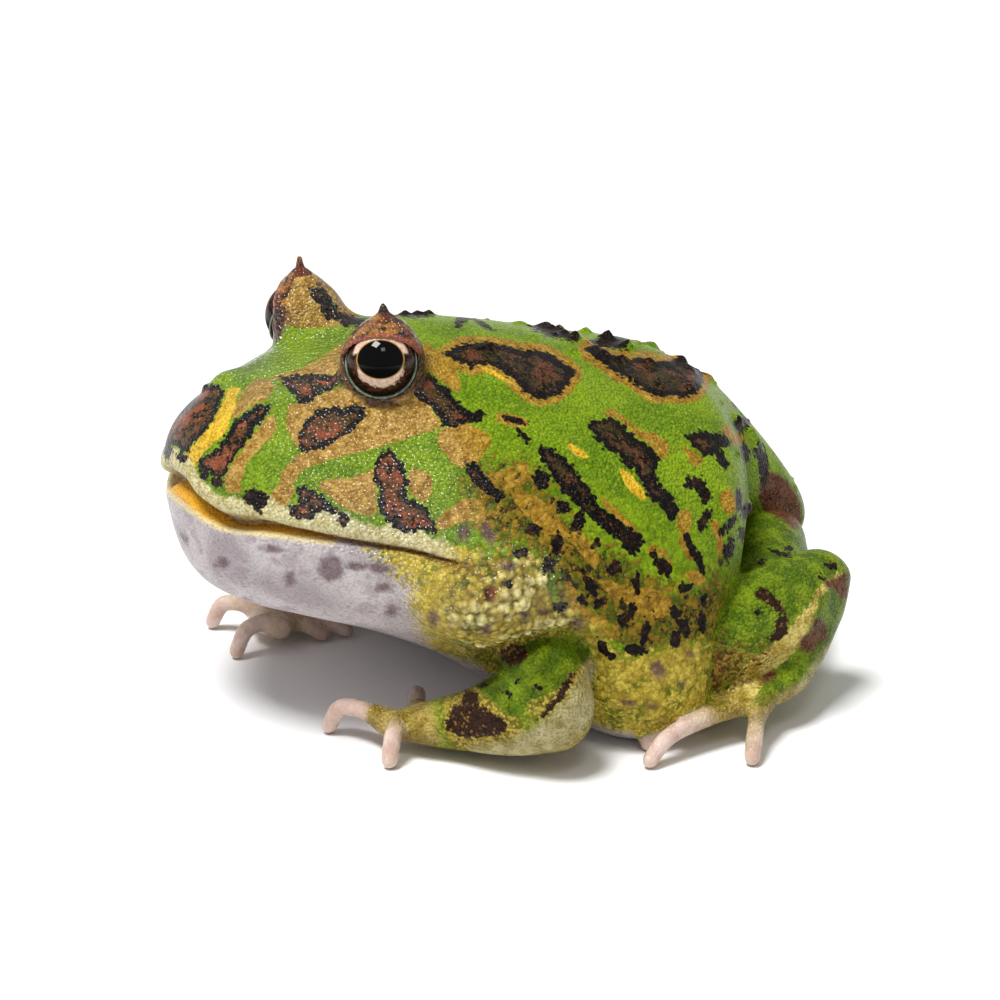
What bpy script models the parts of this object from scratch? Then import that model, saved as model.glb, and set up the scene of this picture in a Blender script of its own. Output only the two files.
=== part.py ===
"""A life-size Cranwell's horned frog, sitting at rest on a level floor.

The frog faces -Y, its left side is +X and +Z is up. Lengths are in millimetres
until a mesh is made, and metres from there on. The trunk is one lofted form,
parted into torso, head and lower jaw by thin cuts. Limbs and digits are swept
tubes, each trimmed clear of what it grows from by a small gap.
"""

import math

import bmesh
import bpy
import numpy as np
from mathutils import Matrix, Vector

MM = 0.001
GAP = 0.3
FLOOR = 0.0

# Trunk: each line is (distance along Y, value), from snout to vent
SNOUT, VENT = -46.3, 50.5
HALF_WIDTH = (
    (SNOUT, 1), (-45.6, 6.5), (-44, 11), (-40, 17), (-33, 21.8), (-24, 26.3), (-16, 31), (-6, 37),
    (4, 40), (12, 38.8), (19, 34), (26, 25.5), (32, 15.5), (38, 12), (45, 10.5), (VENT, 0.6),
)
TOP_LINE = (
    (SNOUT, 35.8), (-45.6, 38.4), (-44, 41), (-40, 44.3), (-33, 48.2), (-24, 50.6), (-16, 51), (-6, 50.4),
    (4, 48.8), (12, 47.2), (19, 45.6), (26, 43.4), (33, 39.2), (40, 31.8), (46, 24), (VENT, 16.5),
)
BELLY_LINE = (
    (SNOUT, 31), (-45.6, 27), (-44, 23), (-40, 19), (-33, 16.2), (-24, 13), (-16, 8.6), (-6, 2),
    (0, -1.2), (12, -1.5), (19, 1), (26, 6), (33, 9), (40, 9.5), (46, 10), (VENT, 14),
)
WIDEST_LINE = (
    (SNOUT, 33.2), (-40, 32.5), (-33, 31), (-24, 28.5), (-16, 25.5), (-6, 20), (4, 16),
    (12, 17), (19, 23), (26, 27), (33, 25.5), (40, 21), (46, 17), (VENT, 15),
)
UPPER_POWER = ((SNOUT, 2.0), (-33, 1.9), (-24, 1.8), (-6, 2.1), (4, 2.2), (26, 2.3), (VENT, 2.0))
LOWER_POWER = ((SNOUT, 2.0), (-33, 2.3), (-6, 3.0), (4, 4.0), (12, 3.6), (19, 2.4), (26, 1.9), (VENT, 2.0))
TRUNK_RINGS, TRUNK_SIDES = 38, 36
RINGS_TO_ENDS = 0.55

# Swellings and creases of the trunk: centre, reach along each axis, height outwards
SWELLINGS = (
    ((33, -13, 23), (10, 12, 8), 3.0),
    ((30, -3, 42), (10, 16, 8), 0.8),
    ((12, -36, 44), (6, 6, 6), 0.7),
    ((26, -30, 38), (7, 9, 6), 0.7),
    ((11, -18.5, 50), (8, 10, 9), 3.2),
    ((37, -11, 12), (8, 8, 5), -1.6),
)

# Mouth: height of its line along Y, where it ends, and its lips
MOUTH_LINE = ((-50, 36.2), (-46, 35.2), (-42, 32.9), (-36, 31.3), (-28, 29.6), (-14, 27), (0, 25))
MOUTH_CORNER = -20.5
LIP_RADIUS = 1.25
LIP_SIDES = 6
LIP_STANDS_OUT = 0.25
MOUTH_SLIT = 0.5

# Neck: the plane that parts head and torso leans back towards the top
NECK_AT, NECK_HEIGHT, NECK_LEAN = -12.5, 30.0, 12.0

# Eyes, their lids and the horns above them, as on the left side
EYE_CENTRE = (13.0, -22.8, 50.3)
EYE_RADIUS = 4.9
GAZE_AZIMUTH, GAZE_RISE = 28.0, 14.0
LID_MOUND = (6.0, 7.4, 5.4)
LID_MOUND_SHIFT = (-1.3, 0.9, -0.9)
LID_OPENING, LID_RIM = 4.35, 0.95
LID_RIM_OUT = 0.55
OPENING_INNER, OPENING_OUTER = 3.75, 5.55
OPENING_START, OPENING_END = 1.5, 9.0
HORN_ROOT, HORN_TIP = (11.9, -21.6, 51.2), (12.0, -22.6, 58.4)
HORN_LENGTHWISE, HORN_ACROSS, HORN_HOLLOW = 6.6, 4.2, 1.2
HORN_RINGS = (0, 0.18, 0.36, 0.54, 0.72, 0.88)
HORN_BULGE_BACK, HORN_ROOT_DEPTH = 0.7, 0.4

# Nostrils
NOSTRIL = (5.2, -39.6, 43.6)
NOSTRIL_RIM, NOSTRIL_HOLE = 1.7, 0.8
NOSTRIL_HOLE_SHIFT = (0.9, -0.5, 0.9)

# Back tubercles: one row on each side of the back and one lower down the flank
TUBERCLE_RADIUS = 1.5
TUBERCLE_ROWS = (((7.5, -2), (11, 34), 7), ((18, 3), (17, 24), 4))
TUBERCLE_WANDER, TUBERCLE_SINK = 1.6, 0.25
TUBERCLE_SIZES = (0.75, 1.15)
TUBERCLE_SEED = 11

# Limbs of the left side: path points with half thickness across and upwards
UPPER_ARM = ((25, -13, 15, 7.5, 7), (33, -11.5, 12.5, 7, 6.5), (38.2, -9.2, 9.8, 6, 6))
FOREARM = (
    (38.5, -8.8, 8.6, 5.4, 5.6), (34.5, -13.5, 7.2, 5.6, 5.6), (29.5, -17.5, 5.4, 4.6, 4.2),
    (26, -20, 4.2, 3.7, 3.0),
)
HAND = ((27, -19.6, 4.4, 3.6, 2.9), (24, -22, 3.8, 4.4, 2.5), (22.4, -23.6, 3.4, 3.6, 1.9))
THIGH = ((11, 41, 15, 8, 7.5), (22, 33, 13, 9.5, 9), (33, 18, 9.6, 7.5, 8))
SHANK = ((33.5, 16.5, 8.5, 6.5, 7), (34.5, 25, 12, 7, 7.6), (32.5, 33.2, 15.3, 5.2, 5.4))
FOOT = (
    (33, 33.8, 12.5, 4.6, 4.8), (36, 29, 8.2, 4.3, 4.2), (38.2, 22, 4.6, 4.2, 3.2),
    (39.6, 17.5, 3.0, 4.2, 2.3),
)

# Digits: where each tip touches the floor, innermost digit first
FINGER_TIPS = {
    "left": ((13.2, -14.0), (9.4, -17.6), (13.2, -31.4), (27.1, -29.2)),
    "right": ((-17.0, -14.8), (-17.2, -18.6), (-17.0, -32.0), (-29.3, -30.6)),
}
HAND_SHIFT = {"left": (0.0, 0.0), "right": (-2.2, -1.4)}
TOE_TIPS = ((35.5, 13.0), (34.5, 8.6), (38.0, 3.2), (42.9, 0.6), (48.4, 12.8))
FINGER_RADIUS, TOE_RADIUS = 1.3, 1.4
FINGER_ARCH, TOE_ARCH = 3.3, 2.0
DIGIT_LAST_JOINT = 1.8
DIGIT_SPACING = 1.7

LIMB_SIDES, DIGIT_SIDES = 11, 7


def clear_scene():
    for obj in list(bpy.data.objects):
        bpy.data.objects.remove(obj, do_unlink=True)


def curve_through(points, at):
    """A smooth curve through (place, value) points, read at one or more places."""
    points = np.array(points, float)
    place, value = points[:, 0], points[:, 1:]
    step = np.diff(place)[:, None]
    slope = np.diff(value, axis=0) / step
    tangent = np.empty_like(value)
    tangent[0], tangent[-1] = slope[0], slope[-1]
    tangent[1:-1] = (slope[:-1] * step[1:] + slope[1:] * step[:-1]) / (step[:-1] + step[1:])
    at = np.atleast_1d(np.asarray(at, float))
    i = np.clip(np.searchsorted(place, at) - 1, 0, len(place) - 2)
    span = step[i]
    u = (at[:, None] - place[i][:, None]) / span
    return (
        (2 * u**3 - 3 * u**2 + 1) * value[i]
        + (u**3 - 2 * u**2 + u) * span * tangent[i]
        + (3 * u**2 - 2 * u**3) * value[i + 1]
        + (u**3 - u**2) * span * tangent[i + 1]
    )


def line_at(points, at):
    return curve_through(points, at)[:, 0]


def object_from(name, mesh_builder):
    """A new mesh object from a filled bmesh, its faces turned outwards."""
    bmesh.ops.recalc_face_normals(mesh_builder, faces=mesh_builder.faces)
    mesh = bpy.data.meshes.new(name)
    mesh_builder.to_mesh(mesh)
    mesh_builder.free()
    obj = bpy.data.objects.new(name, mesh)
    bpy.context.scene.collection.objects.link(obj)
    return obj


def loft(name, rings, start, end):
    """A closed skin over rings of points in millimetres, with a point at each end."""
    builder = bmesh.new()
    rows = [[builder.verts.new(Vector(point) * MM) for point in ring] for ring in rings]
    count = len(rows[0])
    for here, there in zip(rows, rows[1:]):
        for i in range(count):
            j = (i + 1) % count
            builder.faces.new((here[i], here[j], there[j], there[i]))
    for row, tip in ((rows[0], start), (rows[-1], end)):
        apex = builder.verts.new(Vector(tip) * MM)
        for i in range(count):
            builder.faces.new((row[i], row[(i + 1) % count], apex))
    return object_from(name, builder)


def ellipsoid(name, centre, radii, segments, rows):
    builder = bmesh.new()
    bmesh.ops.create_uvsphere(builder, u_segments=segments, v_segments=rows, radius=MM)
    builder.transform(Matrix.Translation(Vector(centre) * MM) @ Matrix.Diagonal((*radii, 1)))
    return object_from(name, builder)


def box(name, low, high):
    """A box between two corners in millimetres."""
    low, high = np.array(low, float), np.array(high, float)
    builder = bmesh.new()
    bmesh.ops.create_cube(builder, size=MM)
    middle = Matrix.Translation(Vector((low + high) / 2) * MM)
    builder.transform(middle @ Matrix.Diagonal((*(high - low), 1)))
    return object_from(name, builder)


def round_section(centre, side, up, across, upwards, sides):
    turns = np.linspace(0, 2 * math.pi, sides, endpoint=False)[:, None]
    ring = centre + np.cos(turns) * side * across + np.sin(turns) * up * upwards
    ring[:, 2] = np.maximum(ring[:, 2], FLOOR)
    return ring


def tube(name, path, sides, ring_spacing=4.0, cap_rows=2):
    """A round-ended tube along path points (x, y, z, across, upwards), flat where it meets the floor."""
    path = np.array(path, float)
    travelled = np.r_[0, np.cumsum(np.linalg.norm(np.diff(path[:, :3], axis=0), axis=1))]
    rows = max(4, round(travelled[-1] / ring_spacing))
    places = np.linspace(0, travelled[-1], rows + 1)
    keys = curve_through(np.column_stack([travelled, path]), places)
    ahead = np.gradient(keys[:, :3], axis=0)
    ahead /= np.linalg.norm(ahead, axis=1)[:, None]
    rings, side = [], np.cross(ahead[0], (0, 0, 1))
    cap_turns = [math.pi / 2 * (i + 0.6) / (cap_rows + 0.6) for i in range(cap_rows)]
    for i, (key, forward) in enumerate(zip(keys, ahead)):
        side = side - forward * side.dot(forward)
        side = side / np.linalg.norm(side)
        up = np.cross(side, forward)
        centre, across, upwards = key[:3], key[3], key[4]
        reach = (across + upwards) / 2
        body_ring = (centre, side, up, across, upwards, sides)
        cap = [
            round_section(centre + forward * reach * math.cos(turn) * (1 if i else -1), side, up,
                          across * math.sin(turn), upwards * math.sin(turn), sides)
            for turn in cap_turns
        ]
        if i == 0:
            rings += cap + [round_section(*body_ring)]
            start = centre - forward * reach
        elif i == rows:
            rings += [round_section(*body_ring)] + cap[::-1]
            end = centre + forward * reach
        else:
            rings.append(round_section(*body_ring))
    for tip in (start, end):
        tip[2] = max(tip[2], FLOOR)
    return loft(name, rings, start, end)


def trunk_places():
    """Places of the trunk's rings, closer together towards snout and vent."""
    turn = np.linspace(0, math.pi, TRUNK_RINGS + 2)[1:-1]
    even = np.linspace(-1, 1, TRUNK_RINGS + 2)[1:-1]
    spread = RINGS_TO_ENDS * -np.cos(turn) + (1 - RINGS_TO_ENDS) * even
    spread /= spread[-1]
    return (SNOUT + VENT) / 2 + spread * (VENT - SNOUT) / 2


def trunk_section(along, turns):
    """Points of the trunk's outline at one place along Y, at turns counted from the top."""
    half = line_at(HALF_WIDTH, along)[0]
    top, belly, widest = (line_at(line, along)[0] for line in (TOP_LINE, BELLY_LINE, WIDEST_LINE))
    upper, lower = line_at(UPPER_POWER, along)[0], line_at(LOWER_POWER, along)[0]
    across, rise = np.sin(turns), np.cos(turns)
    power = np.where(rise > 0, upper, lower)
    reach = np.where(rise > 0, top - widest, widest - belly)
    x = half * np.sign(across) * np.abs(across) ** (2 / power)
    z = widest + reach * np.sign(rise) * np.abs(rise) ** (2 / power)
    ring = np.column_stack([x, np.full_like(x, along), z])
    outwards = ring - (0, along, widest)
    outwards /= np.maximum(np.linalg.norm(outwards, axis=1), 1e-6)[:, None]
    for (cx, cy, cz), spread, height in SWELLINGS:
        for side in (1, -1):
            away = (ring - (side * cx, cy, cz)) / spread
            ring = ring + outwards * (height * np.exp(-(away**2).sum(axis=1)))[:, None]
    ring[:, 2] = np.maximum(ring[:, 2], FLOOR)
    return ring


def point_on_back(across, along):
    """The point of the trunk's upper side above a place on the floor."""
    turns = np.linspace(0, math.pi / 2, 60)
    ring = trunk_section(along, turns)
    return np.array((across, along, np.interp(across, ring[:, 0], ring[:, 2])))


def make_trunk(name):
    turns = np.linspace(0, 2 * math.pi, TRUNK_SIDES, endpoint=False)
    rings = [trunk_section(along, turns) for along in trunk_places()]
    ends = [(0, along, line_at(WIDEST_LINE, along)[0]) for along in (SNOUT - 0.4, VENT + 0.4)]
    return loft(name, rings, *ends)


def copy_of(obj, name):
    twin = obj.copy()
    twin.data = obj.data.copy()
    twin.name = name
    bpy.context.scene.collection.objects.link(twin)
    return twin


def grown(obj, by=GAP):
    """A copy of an object whose surface stands out by a small distance, also under the floor."""
    twin = copy_of(obj, obj.name + ".grown")
    builder = bmesh.new()
    builder.from_mesh(twin.data)
    builder.normal_update()
    moved = [vert.co + vert.normal * by * MM for vert in builder.verts]
    for vert, place in zip(builder.verts, moved):
        vert.co = place
    builder.to_mesh(twin.data)
    builder.free()
    return twin


def keep_largest(obj):
    """Leaves only the closed surface with the largest volume."""
    builder = bmesh.new()
    builder.from_mesh(obj.data)
    unseen, pieces = set(builder.faces), []
    while unseen:
        piece, edge_of_piece = set(), [unseen.pop()]
        while edge_of_piece:
            face = edge_of_piece.pop()
            piece.add(face)
            for edge in face.edges:
                for other in edge.link_faces:
                    if other in unseen:
                        unseen.remove(other)
                        edge_of_piece.append(other)
        pieces.append(piece)
    largest = max(pieces, key=piece_volume)
    spare = [face for face in builder.faces if face not in largest]
    bmesh.ops.delete(builder, geom=spare, context="FACES")
    bmesh.ops.triangulate(builder, faces=builder.faces)
    builder.to_mesh(obj.data)
    builder.free()


def piece_volume(faces):
    total = 0.0
    for face in faces:
        corners = [vert.co for vert in face.verts]
        for second, third in zip(corners[1:], corners[2:]):
            total += corners[0].dot(second.cross(third))
    return abs(total)


def combine(obj, others, operation):
    """Applies one Boolean of an object with a group of others, then removes the group."""
    group = bpy.data.collections.new("group")
    bpy.context.scene.collection.children.link(group)
    for other in others:
        bpy.context.scene.collection.objects.unlink(other)
        group.objects.link(other)
        other.hide_render = True
        other.display_type = "WIRE"
    step = obj.modifiers.new(operation.lower(), "BOOLEAN")
    step.operation, step.solver = operation, "EXACT"
    step.operand_type, step.collection = "COLLECTION", group
    graph = bpy.context.evaluated_depsgraph_get()
    shape = bpy.data.meshes.new_from_object(obj.evaluated_get(graph))
    obj.modifiers.clear()
    obj.data = shape
    for other in others:
        bpy.data.objects.remove(other, do_unlink=True)
    bpy.data.collections.remove(group)
    keep_largest(obj)
    return obj


def mouth_wedge(name, rise):
    """Everything under the mouth line and its run back to the neck."""
    places = np.linspace(MOUTH_LINE[0][0] - 2, MOUTH_LINE[-1][0], 16)
    line = [(y, z + rise) for y, z in zip(places, line_at(MOUTH_LINE, places))]
    outline = line + [(places[-1], -10), (places[0], -10)]
    builder = bmesh.new()
    left = [builder.verts.new(Vector((60, y, z)) * MM) for y, z in outline]
    right = [builder.verts.new(Vector((-60, y, z)) * MM) for y, z in outline]
    for i in range(len(outline)):
        j = (i + 1) % len(outline)
        builder.faces.new((left[i], left[j], right[j], right[i]))
    builder.faces.new(left)
    builder.faces.new(right[::-1])
    return object_from(name, builder)


def lip(name, drop):
    """A soft rim along the mouth, from one corner round the snout to the other."""
    front = SNOUT + 0.9
    bend = np.linspace(0, 1, 13)
    places = MOUTH_CORNER + (front - MOUTH_CORNER) * np.sin(bend * math.pi / 2)
    half_turn = np.linspace(0, math.pi, 90)
    left = []
    for along in places:
        height = line_at(MOUTH_LINE, along)[0] + drop
        ring = trunk_section(along, half_turn)
        across = np.interp(-height, -ring[:, 2], ring[:, 0]) - LIP_RADIUS + LIP_STANDS_OUT
        left.append((max(across, 0), along, height))
    left[-1] = (left[-1][0] * 0.5, left[-1][1], left[-1][2])
    right = [(-x, y, z) for x, y, z in left[::-1]]
    path = [(*point, LIP_RADIUS, LIP_RADIUS) for point in left + right]
    return tube(name, path, LIP_SIDES, ring_spacing=4.2, cap_rows=1)


def neck_slab(name, before, behind):
    """A leaning box from one distance before the neck plane to another behind it."""
    slab = box(name, (-60, before, -60), (60, behind, 60))
    lean = Matrix.Rotation(math.radians(-NECK_LEAN), 4, "X")
    slab.data.transform(Matrix.Translation(Vector((0, NECK_AT, NECK_HEIGHT)) * MM) @ lean)
    return slab


def gaze(side):
    turn, rise = math.radians(GAZE_AZIMUTH), math.radians(GAZE_RISE)
    flat = math.cos(rise)
    return Vector((side * math.cos(turn) * flat, -math.sin(turn) * flat, math.sin(rise)))


def along_gaze(obj, side):
    """Turns an object made along Z at the origin to look out of the eye's centre."""
    centre = Vector((side * EYE_CENTRE[0], *EYE_CENTRE[1:])) * MM
    turn = Vector((0, 0, 1)).rotation_difference(gaze(side)).to_matrix().to_4x4()
    obj.data.transform(Matrix.Translation(centre) @ turn)
    return obj


def ring_of(name, radius, thickness, height, turns=18, sides=5):
    """A ring about Z whose centre lies at a height above the origin."""
    rows = []
    for turn in np.linspace(0, 2 * math.pi, turns, endpoint=False):
        out = np.array((math.cos(turn), math.sin(turn), 0))
        rows.append([
            out * (radius + thickness * math.cos(a)) + (0, 0, height + thickness * math.sin(a))
            for a in np.linspace(0, 2 * math.pi, sides, endpoint=False)
        ])
    builder = bmesh.new()
    rings = [[builder.verts.new(Vector(point) * MM) for point in row] for row in rows]
    for i, here in enumerate(rings):
        there = rings[(i + 1) % turns]
        for k in range(sides):
            m = (k + 1) % sides
            builder.faces.new((here[k], here[m], there[m], there[k]))
    return object_from(name, builder)


def cone_of(name, low_radius, high_radius, low, high):
    builder = bmesh.new()
    bmesh.ops.create_cone(builder, cap_ends=True, segments=20, radius1=low_radius * MM,
                          radius2=high_radius * MM, depth=(high - low) * MM)
    builder.transform(Matrix.Translation(Vector((0, 0, (low + high) / 2)) * MM))
    return object_from(name, builder)


def lid_parts(side):
    """What swells round one eye: the mound of the lids and their rim."""
    centre = np.array(EYE_CENTRE) + LID_MOUND_SHIFT
    mound = ellipsoid("mound", (side * centre[0], *centre[1:]), LID_MOUND, 16, 9)
    rim_height = math.sqrt(EYE_RADIUS**2 - LID_OPENING**2)
    rim = along_gaze(ring_of("rim", LID_OPENING + LID_RIM_OUT, LID_RIM, rim_height), side)
    return [mound, rim]


def eye_room(side):
    """The socket of one eye and the opening in front of it."""
    centre = (side * EYE_CENTRE[0], *EYE_CENTRE[1:])
    socket = ellipsoid("socket", centre, (EYE_RADIUS + GAP,) * 3, 18, 10)
    opening = cone_of("opening", OPENING_INNER, OPENING_OUTER, OPENING_START, OPENING_END)
    return [socket, along_gaze(opening, side)]


def nostril_ball(side, radius):
    return ellipsoid("nostril", (side * NOSTRIL[0], *NOSTRIL[1:]), (radius,) * 3, 8, 5)


def make_front(trunk):
    """The trunk in front of the neck, which holds head and lower jaw."""
    return combine(copy_of(trunk, "front"), [neck_slab("rear", -GAP / 2, 120)], "DIFFERENCE")


def make_head(front, horns):
    head = copy_of(front, "head")
    swellings = [piece for side in (1, -1) for piece in lid_parts(side)]
    swellings += [nostril_ball(side, NOSTRIL_RIM) for side in (1, -1)]
    combine(head, swellings, "UNION")
    combine(head, [mouth_wedge("under", MOUTH_SLIT / 2)], "DIFFERENCE")
    combine(head, [lip("upper_lip", MOUTH_SLIT / 2 + LIP_RADIUS)], "UNION")
    holes = [piece for side in (1, -1) for piece in eye_room(side)]
    for side in (1, -1):
        hole = nostril_ball(side, NOSTRIL_HOLE)
        shift = Vector((side * NOSTRIL_HOLE_SHIFT[0], *NOSTRIL_HOLE_SHIFT[1:])) * MM
        hole.data.transform(Matrix.Translation(shift))
        holes.append(hole)
    return combine(head, holes + [grown(horn) for horn in horns], "DIFFERENCE")


def make_lower_jaw(front, head):
    jaw = copy_of(front, "lower_jaw")
    combine(jaw, [mouth_wedge("inside", -MOUTH_SLIT / 2)], "INTERSECT")
    combine(jaw, [lip("lower_lip", -MOUTH_SLIT / 2 - LIP_RADIUS)], "UNION")
    return combine(jaw, [grown(head)], "DIFFERENCE")


def tubercle(across, along, size):
    """A small round bump, its root sunk in the skin of the back."""
    x, y, z = point_on_back(abs(across), along)
    x = math.copysign(x, across)
    radius = TUBERCLE_RADIUS * size
    return ellipsoid("tubercle", (x, y, z - TUBERCLE_SINK * radius), (radius,) * 3, 7, 5)


def make_torso(trunk):
    torso = copy_of(trunk, "torso")
    combine(torso, [neck_slab("front", -120, GAP / 2)], "DIFFERENCE")
    chance = np.random.default_rng(TUBERCLE_SEED)
    bumps = []
    for side in (1, -1):
        for start, end, count in TUBERCLE_ROWS:
            for share in np.linspace(0, 1, count):
                across, along = np.array(start) + (np.array(end) - start) * share
                across, along = (across, along) + chance.uniform(-1, 1, 2) * TUBERCLE_WANDER
                bumps.append(tubercle(side * across, along, chance.uniform(*TUBERCLE_SIZES)))
    return combine(torso, bumps, "UNION")


def make_eye(side, name):
    eye = ellipsoid(name, (0, 0, 0), (EYE_RADIUS,) * 3, 18, 10)
    return along_gaze(eye, side)


def make_horn(side, name):
    """The fleshy horn of the upper lid: a flattened, hollow-sided cone over the eyeball."""
    mirror = (side, 1, 1)
    root, tip = np.array(HORN_ROOT) * mirror, np.array(HORN_TIP) * mirror
    rings = []
    lengthwise, across = np.array((0, 1, 0)), np.array((1, 0, 0))
    for share in HORN_RINGS:
        bulge = HORN_BULGE_BACK * math.sin(share * math.pi)
        centre = root + (tip - root) * share + lengthwise * bulge
        taper = (1 - share) ** HORN_HOLLOW
        radii = (HORN_LENGTHWISE * taper, HORN_ACROSS * taper)
        rings.append(round_section(centre, lengthwise, across, *radii, LIMB_SIDES))
    horn = loft(name, rings, root - (0, 0, HORN_ROOT_DEPTH), tip)
    return combine(horn, eye_room(side), "DIFFERENCE")


def limb(name, path, side):
    across = 1 if side == "left" else -1
    return tube(name, [(across * x, y, z, a, u) for x, y, z, a, u in path], LIMB_SIDES)


def digit(name, root, tip, radius, arch):
    """A finger or toe: out of its root, over a low arch, and down to its tip on the floor."""
    root, tip = np.array(root, float), np.array((*tip, radius * 0.8))
    forward = (tip - root) * (1, 1, 0)
    length = np.linalg.norm(forward)
    forward /= max(length, 1e-6)
    knee = tip - forward * DIGIT_LAST_JOINT + (0, 0, arch)
    middle = (root + knee) / 2 + (0, 0, 0.25 * arch)
    path = [(*root, radius * 1.35, radius * 1.25), (*middle, radius * 1.02, radius),
            (*knee, radius * 0.98, radius * 0.98), (*tip, radius, radius * 0.9)]
    return tube(name, path, DIGIT_SIDES, ring_spacing=3.0, cap_rows=1)


def fan_of_roots(hand_end, tips):
    """Roots side by side across the end of a hand or foot, in the order of the tips."""
    centre = np.array(hand_end, float)
    mean = np.mean([np.array(tip) for tip in tips], axis=0) - centre[:2]
    mean /= np.linalg.norm(mean)
    across = np.array((-mean[1], mean[0]))
    reach = [np.dot(np.array(tip) - centre[:2], across) for tip in tips]
    order = np.argsort(np.argsort(reach))
    middle = (len(tips) - 1) / 2
    shifts = [across * DIGIT_SPACING * (rank - middle) for rank in order]
    return [(*(centre[:2] + shift), centre[2]) for shift in shifts]


def make_fore_limb(trunk, side):
    sign = 1 if side == "left" else -1
    shift = np.array((*HAND_SHIFT[side], 0, 0, 0))
    arm = combine(limb(f"upper_arm_{side}", UPPER_ARM, side), [grown(trunk)], "DIFFERENCE")
    share = np.linspace(0, 1, len(FOREARM))
    shift *= (sign, 1, 0, 0, 0)
    forearm_path = [np.array(key) + shift * part for key, part in zip(FOREARM, share)]
    hand_path = [np.array(key) + shift for key in HAND]
    forearm = limb(f"forearm_{side}", forearm_path, side)
    combine(forearm, [grown(trunk), grown(arm)], "DIFFERENCE")
    hand = limb(f"hand_{side}", hand_path, side)
    combine(hand, [grown(trunk), grown(forearm)], "DIFFERENCE")
    end = hand_path[-1][:3] * (sign, 1, 1)
    tips = FINGER_TIPS[side]
    made = [hand]
    for number, (root, tip) in enumerate(zip(fan_of_roots(end, tips), tips), 1):
        finger = digit(f"finger_{number}_{side}", root, tip, FINGER_RADIUS, FINGER_ARCH)
        combine(finger, [grown(other) for other in made], "DIFFERENCE")
        made.append(finger)
    return [arm, forearm] + made


def make_hind_limb(trunk, side):
    sign = 1 if side == "left" else -1
    thigh = combine(limb(f"thigh_{side}", THIGH, side), [grown(trunk)], "DIFFERENCE")
    shank = limb(f"shank_{side}", SHANK, side)
    combine(shank, [grown(trunk), grown(thigh)], "DIFFERENCE")
    foot = limb(f"foot_{side}", FOOT, side)
    combine(foot, [grown(trunk), grown(thigh), grown(shank)], "DIFFERENCE")
    end = np.array(FOOT[-1][:3]) * (sign, 1, 1)
    tips = [(sign * x, y) for x, y in TOE_TIPS]
    made = [foot]
    for number, (root, tip) in enumerate(zip(fan_of_roots(end, tips), tips), 1):
        toe = digit(f"toe_{number}_{side}", root, tip, TOE_RADIUS, TOE_ARCH)
        combine(toe, [grown(other) for other in made + [trunk, thigh, shank]], "DIFFERENCE")
        made.append(toe)
    return [thigh, shank] + made


def paint(obj, colour, roughness):
    """Gives an object its own plain material."""
    material = bpy.data.materials.new(obj.name)
    material.use_nodes = True
    shader = material.node_tree.nodes["Principled BSDF"]
    shader.inputs["Base Color"].default_value = (*colour, 1)
    shader.inputs["Roughness"].default_value = roughness
    shader.inputs["Metallic"].default_value = 0
    obj.data.materials.clear()
    obj.data.materials.append(material)


def colour_of(name):
    """Skin colours by body part, and the roughness that goes with them."""
    if name.startswith("eye"):
        return (0.02, 0.02, 0.025), 0.08
    if name.startswith("horn"):
        return (0.30, 0.17, 0.07), 0.45
    if name.startswith(("finger", "toe")):
        return (0.66, 0.45, 0.37), 0.4
    if name.startswith("lower_jaw"):
        return (0.68, 0.62, 0.64), 0.45
    if name.startswith(("hand", "foot")):
        return (0.40, 0.33, 0.12), 0.4
    return (0.16, 0.30, 0.05), 0.4


def stand_on_origin(objects):
    """Moves everything so that the origin lies under the middle of the whole, on the floor."""
    points = np.array([vert.co for obj in objects for vert in obj.data.vertices])
    low, high = points.min(axis=0), points.max(axis=0)
    move = Matrix.Translation(Vector((-(low[0] + high[0]) / 2, -(low[1] + high[1]) / 2, -low[2])))
    for obj in objects:
        obj.data.transform(move)


def build():
    clear_scene()
    trunk = make_trunk("trunk")
    front = make_front(trunk)
    horns = [make_horn(1, "horn_left"), make_horn(-1, "horn_right")]
    head = make_head(front, horns)
    jaw = make_lower_jaw(front, head)
    bpy.data.objects.remove(front, do_unlink=True)
    torso = make_torso(trunk)
    nodes = [torso, head, jaw, *horns]
    for side in ("left", "right"):
        sign = 1 if side == "left" else -1
        nodes.append(make_eye(sign, f"eye_{side}"))
        nodes += make_fore_limb(trunk, side)
        nodes += make_hind_limb(trunk, side)
    bpy.data.objects.remove(trunk, do_unlink=True)
    stand_on_origin(nodes)
    for obj in nodes:
        obj.data.name = obj.name
        paint(obj, *colour_of(obj.name))
        obj.data.shade_smooth()
        obj.data.set_sharp_from_angle(angle=math.radians(40))


build()
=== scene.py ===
import math
from itertools import product

import bpy
import numpy as np
from mathutils import Matrix, Vector


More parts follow.
